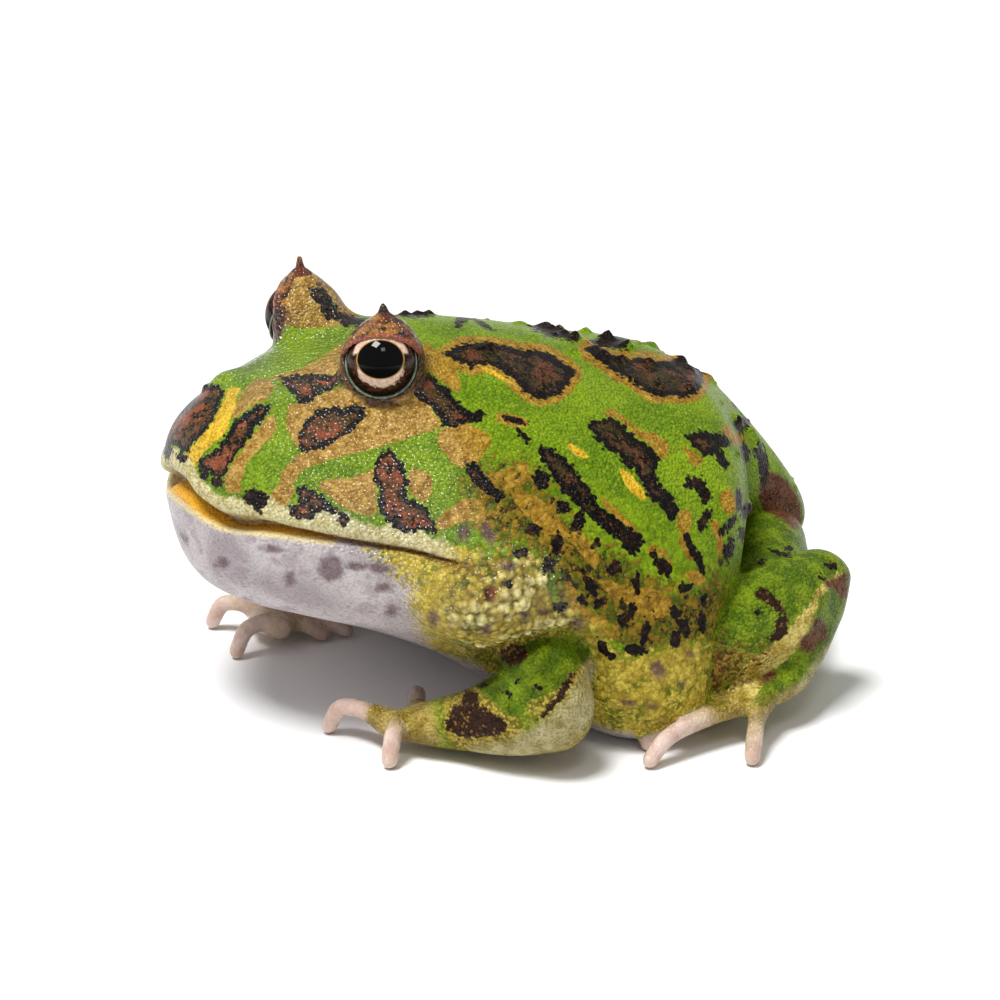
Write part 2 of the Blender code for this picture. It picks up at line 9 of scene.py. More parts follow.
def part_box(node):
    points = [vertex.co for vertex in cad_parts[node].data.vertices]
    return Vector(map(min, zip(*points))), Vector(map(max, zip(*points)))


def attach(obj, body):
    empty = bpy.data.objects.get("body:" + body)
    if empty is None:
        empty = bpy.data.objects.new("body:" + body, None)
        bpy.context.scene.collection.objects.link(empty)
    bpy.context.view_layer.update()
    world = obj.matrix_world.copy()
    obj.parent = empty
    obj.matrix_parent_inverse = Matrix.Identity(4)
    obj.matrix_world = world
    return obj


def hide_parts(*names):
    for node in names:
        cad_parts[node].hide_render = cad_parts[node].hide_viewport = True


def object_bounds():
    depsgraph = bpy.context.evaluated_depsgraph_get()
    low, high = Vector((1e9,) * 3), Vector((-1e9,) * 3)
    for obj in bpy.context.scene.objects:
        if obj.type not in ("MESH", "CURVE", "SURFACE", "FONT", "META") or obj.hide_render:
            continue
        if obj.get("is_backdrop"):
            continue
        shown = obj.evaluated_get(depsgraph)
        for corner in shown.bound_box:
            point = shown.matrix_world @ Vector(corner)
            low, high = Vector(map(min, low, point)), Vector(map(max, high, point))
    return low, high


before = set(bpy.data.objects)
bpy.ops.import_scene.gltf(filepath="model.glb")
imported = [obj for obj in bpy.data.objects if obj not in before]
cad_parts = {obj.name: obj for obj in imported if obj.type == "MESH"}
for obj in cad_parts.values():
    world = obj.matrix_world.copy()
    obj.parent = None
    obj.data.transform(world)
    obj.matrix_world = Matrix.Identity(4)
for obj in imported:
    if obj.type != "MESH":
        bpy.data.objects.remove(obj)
start_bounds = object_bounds()

# Shapes are in millimetres, with the snout along -Y and the left side along +X. SHIFT brings them to the
# frame, and MM makes metres of them.
MM = 0.001
EYE_CENTRE = np.array((13.0, -22.8, 50.3))
low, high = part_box("eye_left")
SHIFT = (np.array(low) + np.array(high)) / 2 / MM - EYE_CENTRE

STEP = 0.36

# Trunk: each line is (distance along Y, value), from snout to vent
SNOUT, VENT = -46.3, 50.5
HALF_WIDTH = (
    (SNOUT, 0), (-45.6, 6.5), (-44, 11), (-40, 17), (-33, 21.8), (-24, 26.3), (-16, 31), (-6, 37),
    (4, 40), (12, 38.8), (19, 34), (26, 25.5), (32, 15.5), (38, 12), (45, 10.5), (VENT, 0),
)
TOP_LINE = (
    (SNOUT, 34), (-45.6, 38.2), (-44, 40.6), (-40, 43.6), (-33, 47.2), (-24, 50.2), (-16, 51),
    (-6, 50.2), (4.5, 48.0), (12, 46.0), (17.3, 44.6), (27, 41.9), (34, 37.5), (40, 31.2), (45.5, 24.2),
    (VENT, 15),
)
BELLY_LINE = (
    (SNOUT, 34), (-45.9, 26.4), (-45, 22.6), (-43.5, 20.0), (-40, 17.4), (-33, 14.8), (-24, 11.8), (-16, 8.2),
    (-6, 2), (0, -1.2), (12, -1.5), (19, 1), (26, 6), (33, 9), (40, 9.5), (46, 10), (VENT, 15),
)
WIDEST_LINE = (
    (SNOUT, 34), (-40, 32.5), (-33, 31), (-24, 28.5), (-16, 25.5), (-6, 20), (4, 16),
    (12, 17), (19, 23), (26, 27), (33, 25.5), (40, 21), (46, 17), (VENT, 15),
)
UPPER_POWER = ((SNOUT, 2.0), (-33, 1.9), (-24, 1.8), (-6, 1.95), (4, 1.95), (26, 2.0), (VENT, 2.0))
LOWER_POWER = (
    (SNOUT, 2.0), (-33, 2.3), (-6, 3.0), (4, 4.0), (12, 3.6), (19, 2.4), (26, 1.9), (VENT, 2.0),
)

# Swellings of both sides: centre, reach along each axis, height outwards
SWELLINGS = (
    ((30, -3, 42), (10, 16, 8), 0.5), ((8, -34, 46), (4, 8, 4), 0.2), ((26, -30, 38), (7, 9, 6), 0.7),
    ((36, 7, 5), (8, 12, 6), 2.0), ((18, -32, 42), (4, 6, 4), -0.5), ((0, -23, 51), (6, 9, 5), -0.6),
    ((9, -20.5, 50), (5, 6, 5), 1.0), ((6.2, -37.2, 45.0), (2.4, 2.4, 2.4), 1.3),
    ((11.5, -33, 43.5), (3.0, 4.5, 2.5), -0.5), ((3.5, -42.0, 42.0), (3.0, 3.0, 3.0), 0.5),
)

TRUNK_MIDDLE = np.array((0.0, 0.0, 27.0))
RADII_ROWS = 361

MOUTH_LINE = ((-50, 36.2), (-46, 35.2), (-42, 32.9), (-36, 31.3), (-28, 29.6), (-14, 27), (0, 25))
LIP_DIP = (
    (0, 0.5), (2.8, 0.6), (5.9, 2.0), (9.6, 2.3), (11.3, 1.9), (13.5, 1.05), (15, 0.4), (17, 0), (19, 0),
)
MOUTH_CORNER = -20.5
UPPER_LIP, LOWER_LIP = (0.45, 1.2, 1.3), (0.5, 2.2, 2.0)

EYE_RADIUS = 4.65
GAZE_AZIMUTH, GAZE_RISE = 28.0, 20.5
HORN_TIPS = {1: (12.0, -22.0, 57.5), -1: (-12.0, -23.0, 58.5)}
# Below each tip: how far down, then half thickness
HORN_SHAPE = {
    1: ((5.2, 4.0), (2.9, 2.1), (1.75, 1.2), (0.8, 0.75), (0, 0.4)),
    -1: ((4.8, 3.3), (2.9, 1.9), (1.8, 0.95), (0.8, 0.62), (0, 0.46)),
}
LID_RADIUS, LID_INWARDS = {1: 5.55, -1: 5.6}, 0.3
RIM_FORWARD, UPPER_LID_ANGLE, OPENING_REACH = 0.85, {1: 34.0, -1: 46.0}, 5.9
LID_RIM_RADIUS, LID_RIM_THICKNESS, LID_RIM_FORWARD, LID_RIM_SPAN = 4.5, 0.2, 1.15, 235.0
LID_RIM_DROP = 0.2
PUPIL = (2.86, 2.38)
# How far forward on each eyeball the pale upper iris starts
PALE_IRIS_REACH = {1: 2.7, -1: 3.6}
NOSTRIL = ((6.0, -35.4, 46.3), (1.1, 0.7, 0.6))
# How much of each tip is the horn, and how far the hole under it is closed below its edge
HORN_HEIGHT, CAP_SINK = 3.4, 0.4
BROW_RIDGE = ((12, -21.2, 53.2, 1.1), (11.6, -18, 50.4, 0.9), (11, -14.5, 47.6, 0.7))

# Raised skin: grain of the flanks and of the shoulder's fold, then warts.
# Each wart is its place in the photograph in pixels, then its radius and height.
GRAIN_SIZE, GRAIN_HEIGHT = 1.15, 0.16
FOLD_GRAIN_SIZE, FOLD_HEIGHT = 1.6, 0.42
SMALL_WARTS, SMALL_WARTS_SEED = 160, 11
# Whole numbers that scatter the granules
CELL_FACTORS = (73856093, 19349663, 83492791)
WARTS = (
    (405, 307, 0.9, 0.6), (417, 306, 0.9, 0.6), (429, 306, 0.9, 0.7), (521, 319, 1.4, 0.5),
    (546, 325, 1.6, 0.9), (565, 333, 0.9, 0.5), (575, 337, 0.9, 0.5), (607, 338, 1.1, 1.2),
    (595, 350, 1.0, 0.6), (621, 360, 1.0, 0.8), (649, 363, 1.0, 0.8), (680, 362, 1.5, 1.0),
    (637, 345, 1.6, 0.6), (712, 374, 1.6, 0.6), (738, 420, 1.2, 0.7), (750, 432, 1.1, 0.7),
    (756, 440, 1.0, 0.6), (697, 374, 0.9, 0.5), (629, 378, 0.8, 0.4), (660, 384, 1.0, 0.5),
    (690, 386, 0.9, 0.4), (728, 495, 1.3, 0.7), (731, 506, 1.3, 0.6), (722, 520, 1.1, 0.6),
    (748, 506, 1.1, 0.6), (714, 498, 1.0, 0.5), (688, 458, 1.1, 0.4), (740, 438, 1.0, 0.5),
    (545, 479, 0.8, 0.4), (632, 530, 1.0, 0.5), (663, 552, 1.0, 0.5), (684, 545, 0.9, 0.4),
    (693, 579, 1.2, 0.4), (596, 628, 1.2, 0.5), (577, 612, 1.0, 0.4), (467, 590, 1.3, 0.4),
    (477, 602, 1.2, 0.4), (498, 616, 1.2, 0.4), (523, 567, 1.1, 0.4), (510, 590, 1.1, 0.4),
    (540, 560, 1.0, 0.4), (205, 388, 0.9, 0.5), (259, 386, 1.5, 0.4),
)

# The loose skin that hangs over the upper arm: centre, half sizes and blend
SHOULDER_FOLD = ((28.5, -12.5, 23.0), (8.0, 13, 7.6), 5.0)

# Limbs of the left side: path points with half thickness across and upwards
UPPER_ARM = ((26, -7.5, 15, 6.5, 6.5), (32.5, -9.4, 12.8, 6.2, 6.2), (37.4, -11.2, 9.8, 5.2, 5.6))
FOREARM = (
    (37.6, -11, 8.6, 5.0, 5.6), (34.2, -14, 7.4, 5.3, 5.6), (29.5, -17.5, 5.4, 4.6, 4.2),
    (26, -20, 4.2, 3.7, 3.0),
)
HAND = ((27, -19.6, 4.4, 3.6, 2.9), (24, -22, 3.8, 4.4, 2.5), (22.4, -23.6, 3.4, 3.6, 1.9))
THIGH = ((11, 38, 14, 6.5, 6.5), (20, 32.5, 11.5, 7, 7.5), (32, 18, 9.6, 7.2, 8))
SHANK = ((33.5, 16.5, 9, 6.3, 7.4), (34, 25, 12.5, 6.6, 8.2), (32, 33.2, 15.3, 5.2, 5.6))
FOOT = (
    (33, 33.2, 13, 4.2, 4.6), (36.0, 28.4, 9.0, 4.0, 4.0), (38.2, 22.6, 6.4, 3.9, 3.2),
    (38.2, 17.8, 5.2, 3.6, 2.4),
)

# Digits: where each tip touches the floor, innermost digit first
FINGER_TIPS = {
    1: ((16.5, -12.5), (10.4, -17.0), (13.2, -31.4), (27.1, -29.2)),
    -1: ((-17.0, -14.8), (-17.2, -18.6), (-17.0, -32.0), (-29.3, -30.6)),
}
HAND_SHIFT = {1: (0.0, 0.0), -1: (-2.2, -1.4)}
TOE_TIPS = ((35.5, 13.0), (34.5, 8.6), (38.0, 3.2), (42.9, 0.6), (48.4, 12.8))
FINGER_RADIUS, TOE_RADIUS = 1.3, 1.25
FINGER_ARCHES, TOE_ARCH = (1.2, 1.4, 3.0, 3.0), 1.8
DIGIT_LAST_JOINT = 1.8
DIGIT_SPACING = 1.7

# Marks of the skin, as places in the photograph in pixels. Each outline is a loop of corners.
BLOTCHES = {
    "snout_near": (
        (268, 403), (272, 408), (267, 418), (258, 427), (252, 436), (246, 443), (243, 450), (236, 457),
        (230, 466), (226, 475), (222, 480), (212, 478), (207, 472), (199, 469), (198, 461), (200, 457),
        (209, 453), (216, 447), (222, 440), (229, 428), (236, 418), (244, 413), (250, 408), (258, 404),
    ),
    "cheek": (
        (330, 406), (345, 407), (355, 405), (365, 407), (366, 415), (362, 422), (356, 428), (350, 435),
        (340, 440), (333, 445), (325, 449), (315, 450), (308, 453), (300, 451), (297, 445), (299, 437),
        (301, 428), (304, 420), (309, 414), (316, 410), (323, 406),
    ),
    "before_eye": (
        (280, 376), (292, 374), (305, 373), (318, 373), (330, 374), (338, 371), (341, 380), (337, 388),
        (330, 391), (320, 395), (313, 402), (303, 406), (295, 402), (290, 393), (284, 387), (279, 381),
    ),
    "behind_eye": (
        (426, 372), (433, 376), (441, 383), (449, 388), (456, 396), (461, 404), (470, 412), (480, 408),
        (485, 411), (486, 418), (478, 422), (468, 424), (458, 427), (447, 432), (441, 425), (437, 417),
        (431, 409), (424, 403), (417, 398), (412, 394), (416, 386), (422, 378),
    ),
    "tall": (
        (381, 452), (388, 448), (395, 452), (399, 457), (403, 462), (406, 470), (409, 478), (410, 483),
        (406, 488), (408, 497), (414, 496), (418, 501), (426, 507), (431, 516), (436, 525), (440, 533),
        (437, 537), (430, 533), (420, 531), (410, 535), (402, 532), (392, 526), (384, 521), (379, 512),
        (377, 503), (378, 492), (375, 483), (373, 474), (374, 462), (377, 456),
    ),
    "lip": (
        (295, 489), (303, 484), (313, 489), (322, 494), (331, 501), (337, 509), (344, 511), (350, 519),
        (348, 527), (344, 530), (338, 524), (334, 516), (324, 512), (317, 516), (312, 521), (300, 520),
        (292, 517), (286, 510), (290, 506), (297, 504), (296, 496),
    ),
    "neck": (
        (466, 463), (473, 460), (480, 466), (486, 474), (492, 480), (499, 490), (505, 497), (500, 503),
        (492, 500), (484, 495), (478, 488), (471, 483), (466, 475), (464, 468),
    ),
    "nape": (
        (442, 354), (449, 349), (459, 343), (470, 342), (488, 342), (505, 345), (522, 349), (540, 349),
        (553, 354), (565, 362), (577, 372), (573, 380), (567, 388), (560, 395), (548, 399), (539, 400),
        (530, 397), (521, 389), (512, 381), (503, 374), (493, 368), (482, 367), (471, 369), (464, 366),
        (455, 361),
    ),
    "back": (
        (582, 349), (588, 345), (596, 345), (602, 351), (609, 355), (621, 356), (630, 358), (640, 357),
        (650, 357), (655, 360), (668, 360), (675, 357), (685, 359), (692, 364), (700, 368), (704, 374),
        (704, 382), (701, 390), (696, 395), (685, 398), (668, 397), (655, 397), (647, 393), (638, 387),
        (630, 382), (621, 377), (613, 372), (605, 366), (597, 361), (590, 357),
    ),
    "saddle": (
        (586, 428), (590, 422), (594, 418), (602, 418), (611, 416), (618, 419), (625, 424), (629, 430),
        (636, 436), (644, 440), (650, 446), (655, 452), (660, 458), (663, 462), (658, 467), (656, 475),
        (660, 483), (666, 489), (672, 494), (678, 502), (680, 510), (677, 520), (673, 524), (668, 519),
        (661, 510), (657, 503), (652, 505), (648, 500), (645, 492), (641, 484), (636, 478), (634, 470),
        (629, 471), (624, 466), (620, 458), (612, 453), (606, 451), (601, 448), (603, 444), (597, 443),
        (592, 436), (589, 430),
    ),
    "hip": (
        (681, 430), (688, 433), (697, 432), (701, 428), (708, 431), (718, 432), (726, 435), (731, 440),
        (730, 447), (722, 450), (728, 459), (732, 468), (726, 470), (719, 465), (714, 456), (705, 455),
        (702, 458), (697, 452), (692, 448), (687, 440),
    ),
    "flank": (
        (535, 448), (541, 442), (552, 448), (568, 458), (578, 473), (591, 489), (601, 505), (615, 516),
        (627, 525), (638, 538), (642, 548), (636, 556), (626, 553), (619, 541), (606, 532), (596, 522),
        (586, 515), (577, 508), (568, 500), (560, 491), (553, 481), (547, 470), (540, 460),
    ),
}

# The same kind of mark where the photograph shows the far side of the head
FAR_BLOTCHES = {
    "snout_far": (
        (204, 384), (219, 382), (225, 392), (220, 408), (213, 422), (203, 435), (194, 443), (190, 452),
        (182, 455), (176, 447), (168, 445), (158, 448), (156, 438), (160, 427), (166, 418), (174, 411),
        (184, 405), (190, 397), (196, 388),
    ),
    "far_horn": (
        (309, 288), (318, 283), (327, 288), (331, 296), (336, 305), (341, 312), (352, 315), (369, 318),
        (366, 323), (353, 328), (345, 328), (338, 322), (327, 320), (321, 313), (318, 304), (311, 297),
    ),
}

# Dark marks with no red in them: outlines, then round spots (x, y, half width, half height, tilt)
DARK_PATCHES = {
    "lip_front": (
        (242, 496), (252, 491), (262, 492), (267, 498), (265, 508), (261, 511), (255, 508), (247, 502),
    ),
    "thigh_back": (
        (650, 553), (656, 553), (664, 558), (670, 565), (673, 572), (668, 577), (660, 573), (655, 566),
    ),
    "hook": (
        (685, 485), (688, 478), (693, 475), (699, 477), (704, 482), (708, 490), (710, 500), (708, 505),
        (703, 501), (700, 492), (693, 489),
    ),
    "hook_end": ((695, 525), (700, 519), (708, 510), (713, 512), (709, 520), (705, 527), (701, 530)),
    "far_ridge": (
        (526, 322), (538, 322), (546, 318), (552, 325), (562, 330), (578, 336), (580, 342), (568, 340),
        (555, 337), (543, 333), (534, 329),
    ),
    "far_ridge_back": (
        (589, 340), (598, 340), (607, 330), (612, 337), (622, 338), (627, 342), (627, 349), (611, 348),
        (598, 346),
    ),
    "far_nape": (
        (386, 306), (400, 298), (415, 298), (432, 300), (440, 312), (424, 317), (405, 317), (392, 315),
    ),
    "rump": (
        (758, 440), (762, 446), (766, 456), (768, 470), (768, 485), (764, 486), (760, 474), (757, 460),
        (755, 448),
    ),
}
DARK_SPOTS = (
    (204, 473, 4, 5, 0), (217, 482, 6, 5, 0), (168, 452, 3.5, 6, 0), (182, 457, 4, 4, 0),
    (541, 479, 7, 9, 0), (533, 529, 7, 6, 0), (557, 543, 4, 9, 10), (563, 507, 6, 6, 0),
    (579, 520, 5, 9, 20), (595, 544, 4, 5, 0), (521, 553, 7, 5, 0), (549, 566, 6, 8, 20),
    (614, 568, 6, 6, 0), (637, 584, 4, 9, 0), (560, 607, 5, 6, 0), (590, 585, 4, 15, -30),
    (583, 600, 5, 4, 0), (600, 603, 5, 4, 0), (631, 612, 4, 8, 10), (623, 622, 4, 4, 0),
    (645, 632, 4, 12, 10), (634, 650, 11, 5, 0), (603, 648, 4, 11, -25), (611, 657, 3, 5, 0),
    (675, 613, 5, 6, 0), (684, 628, 6, 9, -20), (675, 640, 5, 7, 0), (702, 621, 3.5, 9, 0),
    (703, 600, 3.5, 6, 0), (684, 587, 6, 4, 0), (690, 545, 3, 12, -20), (700, 563, 3.5, 11, -15),
    (729, 550, 5, 11, 10), (743, 535, 4, 6, -20), (738, 500, 3.5, 10, 10), (745, 512, 4, 8, 10),
    (730, 524, 3, 8, 25), (739, 426, 4, 7, -25), (745, 452, 4, 8, -10), (722, 530, 3, 4, 0),
    (508, 585, 3, 3, 0), (515, 420, 12, 3, 15), (524, 436, 3, 8, -40), (680, 361, 5, 4, 0),
    (699, 369, 4, 4, 0), (720, 377, 5, 4, 30), (737, 402, 4, 5, 0), (747, 420, 4, 6, 0),
    (465, 319, 9, 2.2, -15), (484, 325, 10, 2, 28), (459, 323, 3.5, 5, 0), (636, 540, 6, 7, 0),
    (619, 533, 4, 6, 0),
)

TAN_PATCHES = {
    "under_eye": (
        (314, 402), (325, 396), (336, 391), (348, 393), (356, 399), (352, 403), (340, 404), (328, 404),
        (318, 407),
    ),
    "nostril": (
        (238, 400), (243, 392), (249, 384), (257, 379), (268, 380), (276, 385), (271, 393), (266, 400),
        (256, 404), (246, 410), (238, 416), (232, 420), (234, 410),
    ),
    "muzzle": (
        (272, 412), (276, 425), (272, 436), (262, 446), (252, 457), (246, 467), (241, 480), (240, 492),
        (229, 494), (224, 482), (228, 470), (234, 460), (243, 450), (247, 442), (254, 434), (262, 424),
        (268, 416),
    ),
    "cheek": (
        (289, 405), (305, 402), (318, 396), (335, 388), (350, 388), (366, 392), (380, 394), (400, 394),
        (420, 388), (430, 406), (440, 420), (441, 428), (425, 432), (400, 440), (380, 447), (360, 452),
        (340, 457), (320, 462), (305, 469), (297, 476), (293, 484), (295, 492), (290, 500), (283, 508),
        (270, 505), (268, 498), (275, 488), (281, 480), (282, 472), (288, 465), (299, 455), (305, 450),
        (297, 446), (292, 440), (288, 430), (286, 418),
    ),
    "brow": (
        (266, 380), (285, 373), (300, 369), (312, 362), (325, 355), (338, 346), (346, 336), (356, 330),
        (350, 352), (344, 368), (336, 376), (320, 376), (300, 376), (280, 379),
    ),
    "temple": (
        (424, 342), (435, 350), (448, 361), (458, 372), (461, 385), (459, 394), (450, 387), (440, 380),
        (432, 373), (425, 366), (422, 352),
    ),
    "jowl": (
        (438, 435), (443, 428), (452, 425), (465, 422), (480, 428), (492, 437), (488, 447), (483, 455),
        (477, 462), (468, 467), (460, 468), (452, 463), (448, 456), (442, 450), (438, 442),
    ),
    "orange": (
        (409, 472), (415, 469), (425, 470), (432, 478), (433, 487), (430, 496), (424, 502), (418, 500),
        (412, 493), (408, 485),
    ),
    "lip": (
        (319, 482), (330, 479), (350, 478), (372, 470), (376, 482), (376, 500), (376, 515), (362, 515),
        (345, 508), (335, 500), (325, 492), (318, 488),
    ),
    "jaw_end": (
        (437, 520), (445, 510), (455, 505), (465, 498), (475, 497), (484, 505), (487, 515), (484, 524),
        (470, 521), (458, 523), (447, 528), (440, 531), (436, 528),
    ),
    "neck": (
        (494, 413), (502, 412), (512, 415), (524, 417), (530, 423), (526, 428), (514, 427), (502, 424),
        (496, 420),
    ),
    "saddle": (
        (605, 410), (612, 409), (620, 413), (628, 420), (636, 428), (645, 431), (655, 433), (664, 438),
        (670, 446), (668, 455), (662, 460), (655, 452), (648, 443), (638, 437), (630, 431), (624, 423),
        (616, 418), (606, 416),
    ),
    "flank_edge": (
        (600, 496), (608, 501), (616, 508), (623, 516), (630, 522), (638, 533), (634, 537), (626, 528),
        (616, 518), (606, 510),
    ),
    "thigh_edge": (
        (645, 549), (652, 545), (660, 548), (668, 555), (674, 563), (670, 564), (664, 558), (655, 553),
        (650, 556),
    ),
    "hip": (
        (722, 428), (728, 424), (733, 431), (742, 436), (749, 439), (741, 444), (734, 447), (730, 440),
        (724, 434),
    ),
    "hip_low": ((682, 446), (690, 449), (698, 454), (703, 460), (700, 467), (693, 466), (686, 459)),
    "side_high": (
        (722, 492), (728, 486), (733, 490), (735, 498), (732, 505), (733, 512), (728, 516), (722, 508),
        (719, 500),
    ),
    "side_end": ((744, 504), (750, 501), (753, 506), (750, 511), (744, 509)),
    "side_low": ((678, 512), (686, 508), (691, 514), (691, 526), (689, 536), (680, 534), (677, 524)),
    "side_lower": ((680, 535), (687, 538), (692, 548), (694, 558), (690, 562), (684, 552), (679, 543)),
    "back_edge": (
        (711, 519), (716, 520), (722, 532), (723, 546), (722, 556), (717, 552), (716, 538), (711, 528),
    ),
    "shoulder": (
        (510, 492), (520, 494), (533, 494), (543, 500), (552, 510), (558, 520), (570, 530), (584, 534),
        (594, 545), (600, 560), (596, 572), (586, 560), (574, 546), (560, 535), (545, 536), (530, 520),
        (516, 505),
    ),
    "shoulder_low": (
        (470, 470), (480, 478), (500, 470), (525, 462), (532, 478), (520, 486), (505, 490), (498, 482),
        (484, 484),
    ),
    "side_patch": (
        (596, 580), (612, 580), (630, 590), (648, 586), (662, 592), (672, 600), (672, 614), (655, 620),
        (640, 614), (622, 600), (606, 592),
    ),
    "side_spot": ((683, 574), (692, 570), (703, 574), (706, 580), (700, 587), (690, 584)),
    "low_edge": (
        (556, 580), (570, 582), (580, 594), (590, 610), (604, 618), (618, 628), (622, 640), (610, 640),
        (596, 628), (580, 616), (566, 602), (556, 592),
    ),
}
YELLOW_PATCHES = {
    "stripe": (
        (227, 389), (235, 387), (241, 388), (241, 392), (236, 396), (236, 405), (235, 411), (231, 416),
        (230, 423), (226, 430), (222, 437), (214, 442), (207, 449), (202, 455), (197, 462), (193, 469),
        (184, 463), (186, 456), (190, 449), (197, 441), (205, 431), (214, 420), (219, 411), (224, 401),
        (226, 394),
    ),
    "side": ((566, 442), (574, 445), (582, 450), (589, 457), (582, 459), (575, 454), (569, 449)),
    "saddle": (
        (619, 468), (626, 471), (632, 474), (636, 481), (641, 487), (646, 493), (647, 498), (641, 500),
        (634, 494), (627, 488), (622, 478),
    ),
    "nape": (
        (481, 367), (490, 368), (500, 374), (508, 380), (513, 384), (505, 381), (495, 376), (486, 372),
    ),
}
# Blotches with a light line round them, and its width in millimetres
LIGHT_EDGED, LIGHT_EDGE = ("nape", "back"), 0.8
SOFT_SPOTS = (
    (380, 403, 16, 3, 0), (159, 496, 3, 6, 0), (168, 512, 2.5, 5, 0), (184, 541, 5, 6, 0),
    (222, 563, 7, 7, 0), (272, 549, 13, 4, 5), (290, 579, 6, 8, 0), (331, 568, 14, 14, 0),
    (380, 568, 12, 5, 0), (384, 588, 9, 5, 0), (392, 610, 7, 6, 0), (434, 618, 7, 9, 0),
    (486, 630, 7, 6, 0), (524, 616, 6, 6, 0), (544, 610, 5, 5, 0), (578, 624, 9, 6, 10),
    (464, 532, 7, 10, 0), (487, 532, 6, 12, -20), (508, 567, 10, 6, 0), (658, 670, 8, 11, -20),
    (628, 703, 9, 3, 0), (651, 706, 5, 4, 0), (683, 685, 4, 4, 0), (690, 655, 6, 3, 0),
    (356, 566, 16, 4, 0), (245, 600, 5, 3, 0),
)
RUSTY_SPOTS = ((490, 594, 7, 9, 0),)
FAR_LID_RUST = (
    (277, 284), (284, 282), (286, 300), (284, 320), (280, 334), (268, 344), (264, 340), (274, 322),
    (275, 300),
)

ARM_DARK = {
    "arm_top": ((499, 652), (510, 645), (525, 646), (529, 655), (520, 663), (512, 666), (503, 660)),
    "wrist": (
        (466, 690), (478, 694), (478, 703), (487, 708), (495, 716), (508, 721), (506, 731), (495, 735),
        (478, 738), (460, 737), (447, 732), (446, 722), (452, 710), (460, 702), (462, 695),
    ),
    "elbow": (
        (570, 672), (578, 672), (574, 681), (567, 690), (561, 700), (552, 709), (542, 719), (538, 720),
        (546, 708), (556, 697), (563, 684),
    ),
}
ARM_SPOTS = (
    (484, 686, 2.5, 2, 0), (507, 694, 3.5, 1.6, 25), (538, 688, 2.5, 2.5, 0), (517, 680, 1.5, 1.5, 0),
)
ARM_GREEN = (
    (500, 655), (520, 643), (545, 636), (575, 634), (592, 650), (588, 662), (577, 668), (569, 678),
    (560, 688), (545, 697), (530, 702), (525, 710), (518, 716), (508, 716), (500, 708), (490, 700),
    (481, 695), (476, 685), (484, 675), (492, 665),
)
ARM_PALE = (
    (604, 650), (610, 690), (600, 715), (565, 748), (535, 762), (470, 764), (470, 748), (505, 742),
    (530, 731), (550, 716), (566, 700), (577, 684), (586, 664),
)
# The rump where the near flank hides it: brown, partly painted shade
RUMP_BROWN_AND_SHADE = (
    (766, 470), (780, 474), (792, 486), (800, 500), (803, 520), (796, 530), (780, 518), (766, 512),
    (758, 500), (760, 482),
)
LEG_DARK = {
    "thigh": (
        (755, 592), (762, 587), (768, 590), (775, 597), (783, 603), (786, 612), (780, 614), (772, 607),
        (763, 600), (757, 598),
    ),
    "thigh_low": (
        (776, 620), (785, 615), (789, 622), (788, 632), (782, 640), (770, 642), (768, 638), (775, 632),
    ),
}
FOOT_BROWN = {
    "heel": (
        (824, 582), (832, 578), (845, 572), (848, 580), (850, 602), (840, 598), (834, 589), (826, 587),
    ),
    "foot": (
        (811, 620), (820, 619), (827, 626), (827, 637), (822, 642), (817, 640), (818, 646), (812, 652),
        (804, 651), (799, 645), (801, 637), (808, 633), (812, 628),
    ),
    "instep": ((763, 674), (770, 670), (777, 671), (776, 677), (768, 682), (760, 684)),
}
LEG_SPOTS = (
    (777, 552, 5, 1.5, 20), (786, 555, 4, 1.5, 30), (790, 549, 3.5, 1.5, 30), (763, 563, 3.5, 2.5, 0),
    (832, 566, 6, 3, 15), (758, 612, 3, 2, 0), (822, 578, 3, 2, 40),
)
LEG_YELLOW = (
    (838, 572), (826, 582), (817, 590), (812, 602), (802, 612), (786, 632), (768, 648), (745, 664),
    (728, 690), (728, 712), (750, 704), (762, 686), (771, 673), (780, 664), (790, 655), (801, 645),
    (808, 631), (816, 614), (818, 598), (828, 588), (846, 576),
)
# Under the knee: partly the skin's own yellow-brown, partly painted shade of the deep gap between knee and
# foot
KNEE_BROWN_AND_SHADE = (
    (696, 720), (694, 690), (700, 660), (716, 640), (730, 645), (752, 655), (765, 655), (745, 668),
    (728, 690), (715, 712),
)
# Zones of the body's side with their own colour or coarser grain
FLANK_OLIVE = (
    (470, 468), (500, 462), (535, 470), (560, 505), (580, 528), (600, 545), (625, 562), (650, 580),
    (690, 590), (722, 560), (730, 600), (715, 650), (690, 648), (640, 656), (612, 640), (590, 612),
    (555, 585), (540, 560), (520, 545), (490, 548), (470, 515), (462, 490),
)
FLANK_YELLOW = (
    (425, 556), (450, 546), (478, 552), (500, 562), (530, 556), (545, 580), (556, 600), (580, 612),
    (600, 628), (620, 654), (650, 654), (690, 640), (716, 646), (708, 690), (690, 730), (640, 760),
    (580, 760), (540, 720), (575, 690), (584, 650), (575, 640), (540, 650), (480, 665), (430, 655),
    (412, 620),
)
LOWER_LIP_AMBER = (
    (170, 474), (178, 474), (188, 477), (199, 484), (207, 500), (224, 512), (250, 518), (300, 528),
    (330, 535), (290, 530), (250, 525), (225, 522), (206, 513), (189, 501), (175, 489),
)
THROAT = (
    (120, 440), (163, 440), (195, 450), (230, 475), (262, 485), (320, 495), (350, 505), (372, 522),
    (402, 556), (430, 580), (428, 604), (440, 630), (458, 656), (480, 690), (420, 720), (120, 700),
)
SHOULDER_ZONE = (
    (445, 560), (470, 545), (500, 540), (530, 545), (560, 560), (580, 600), (590, 640), (540, 650),
    (480, 660), (440, 640), (428, 600),
)
FLANK_GRAIN = (
    (440, 500), (500, 450), (560, 460), (640, 500), (700, 540), (740, 560), (740, 620), (710, 700),
    (640, 730), (590, 700), (540, 660), (430, 660), (420, 560),
)
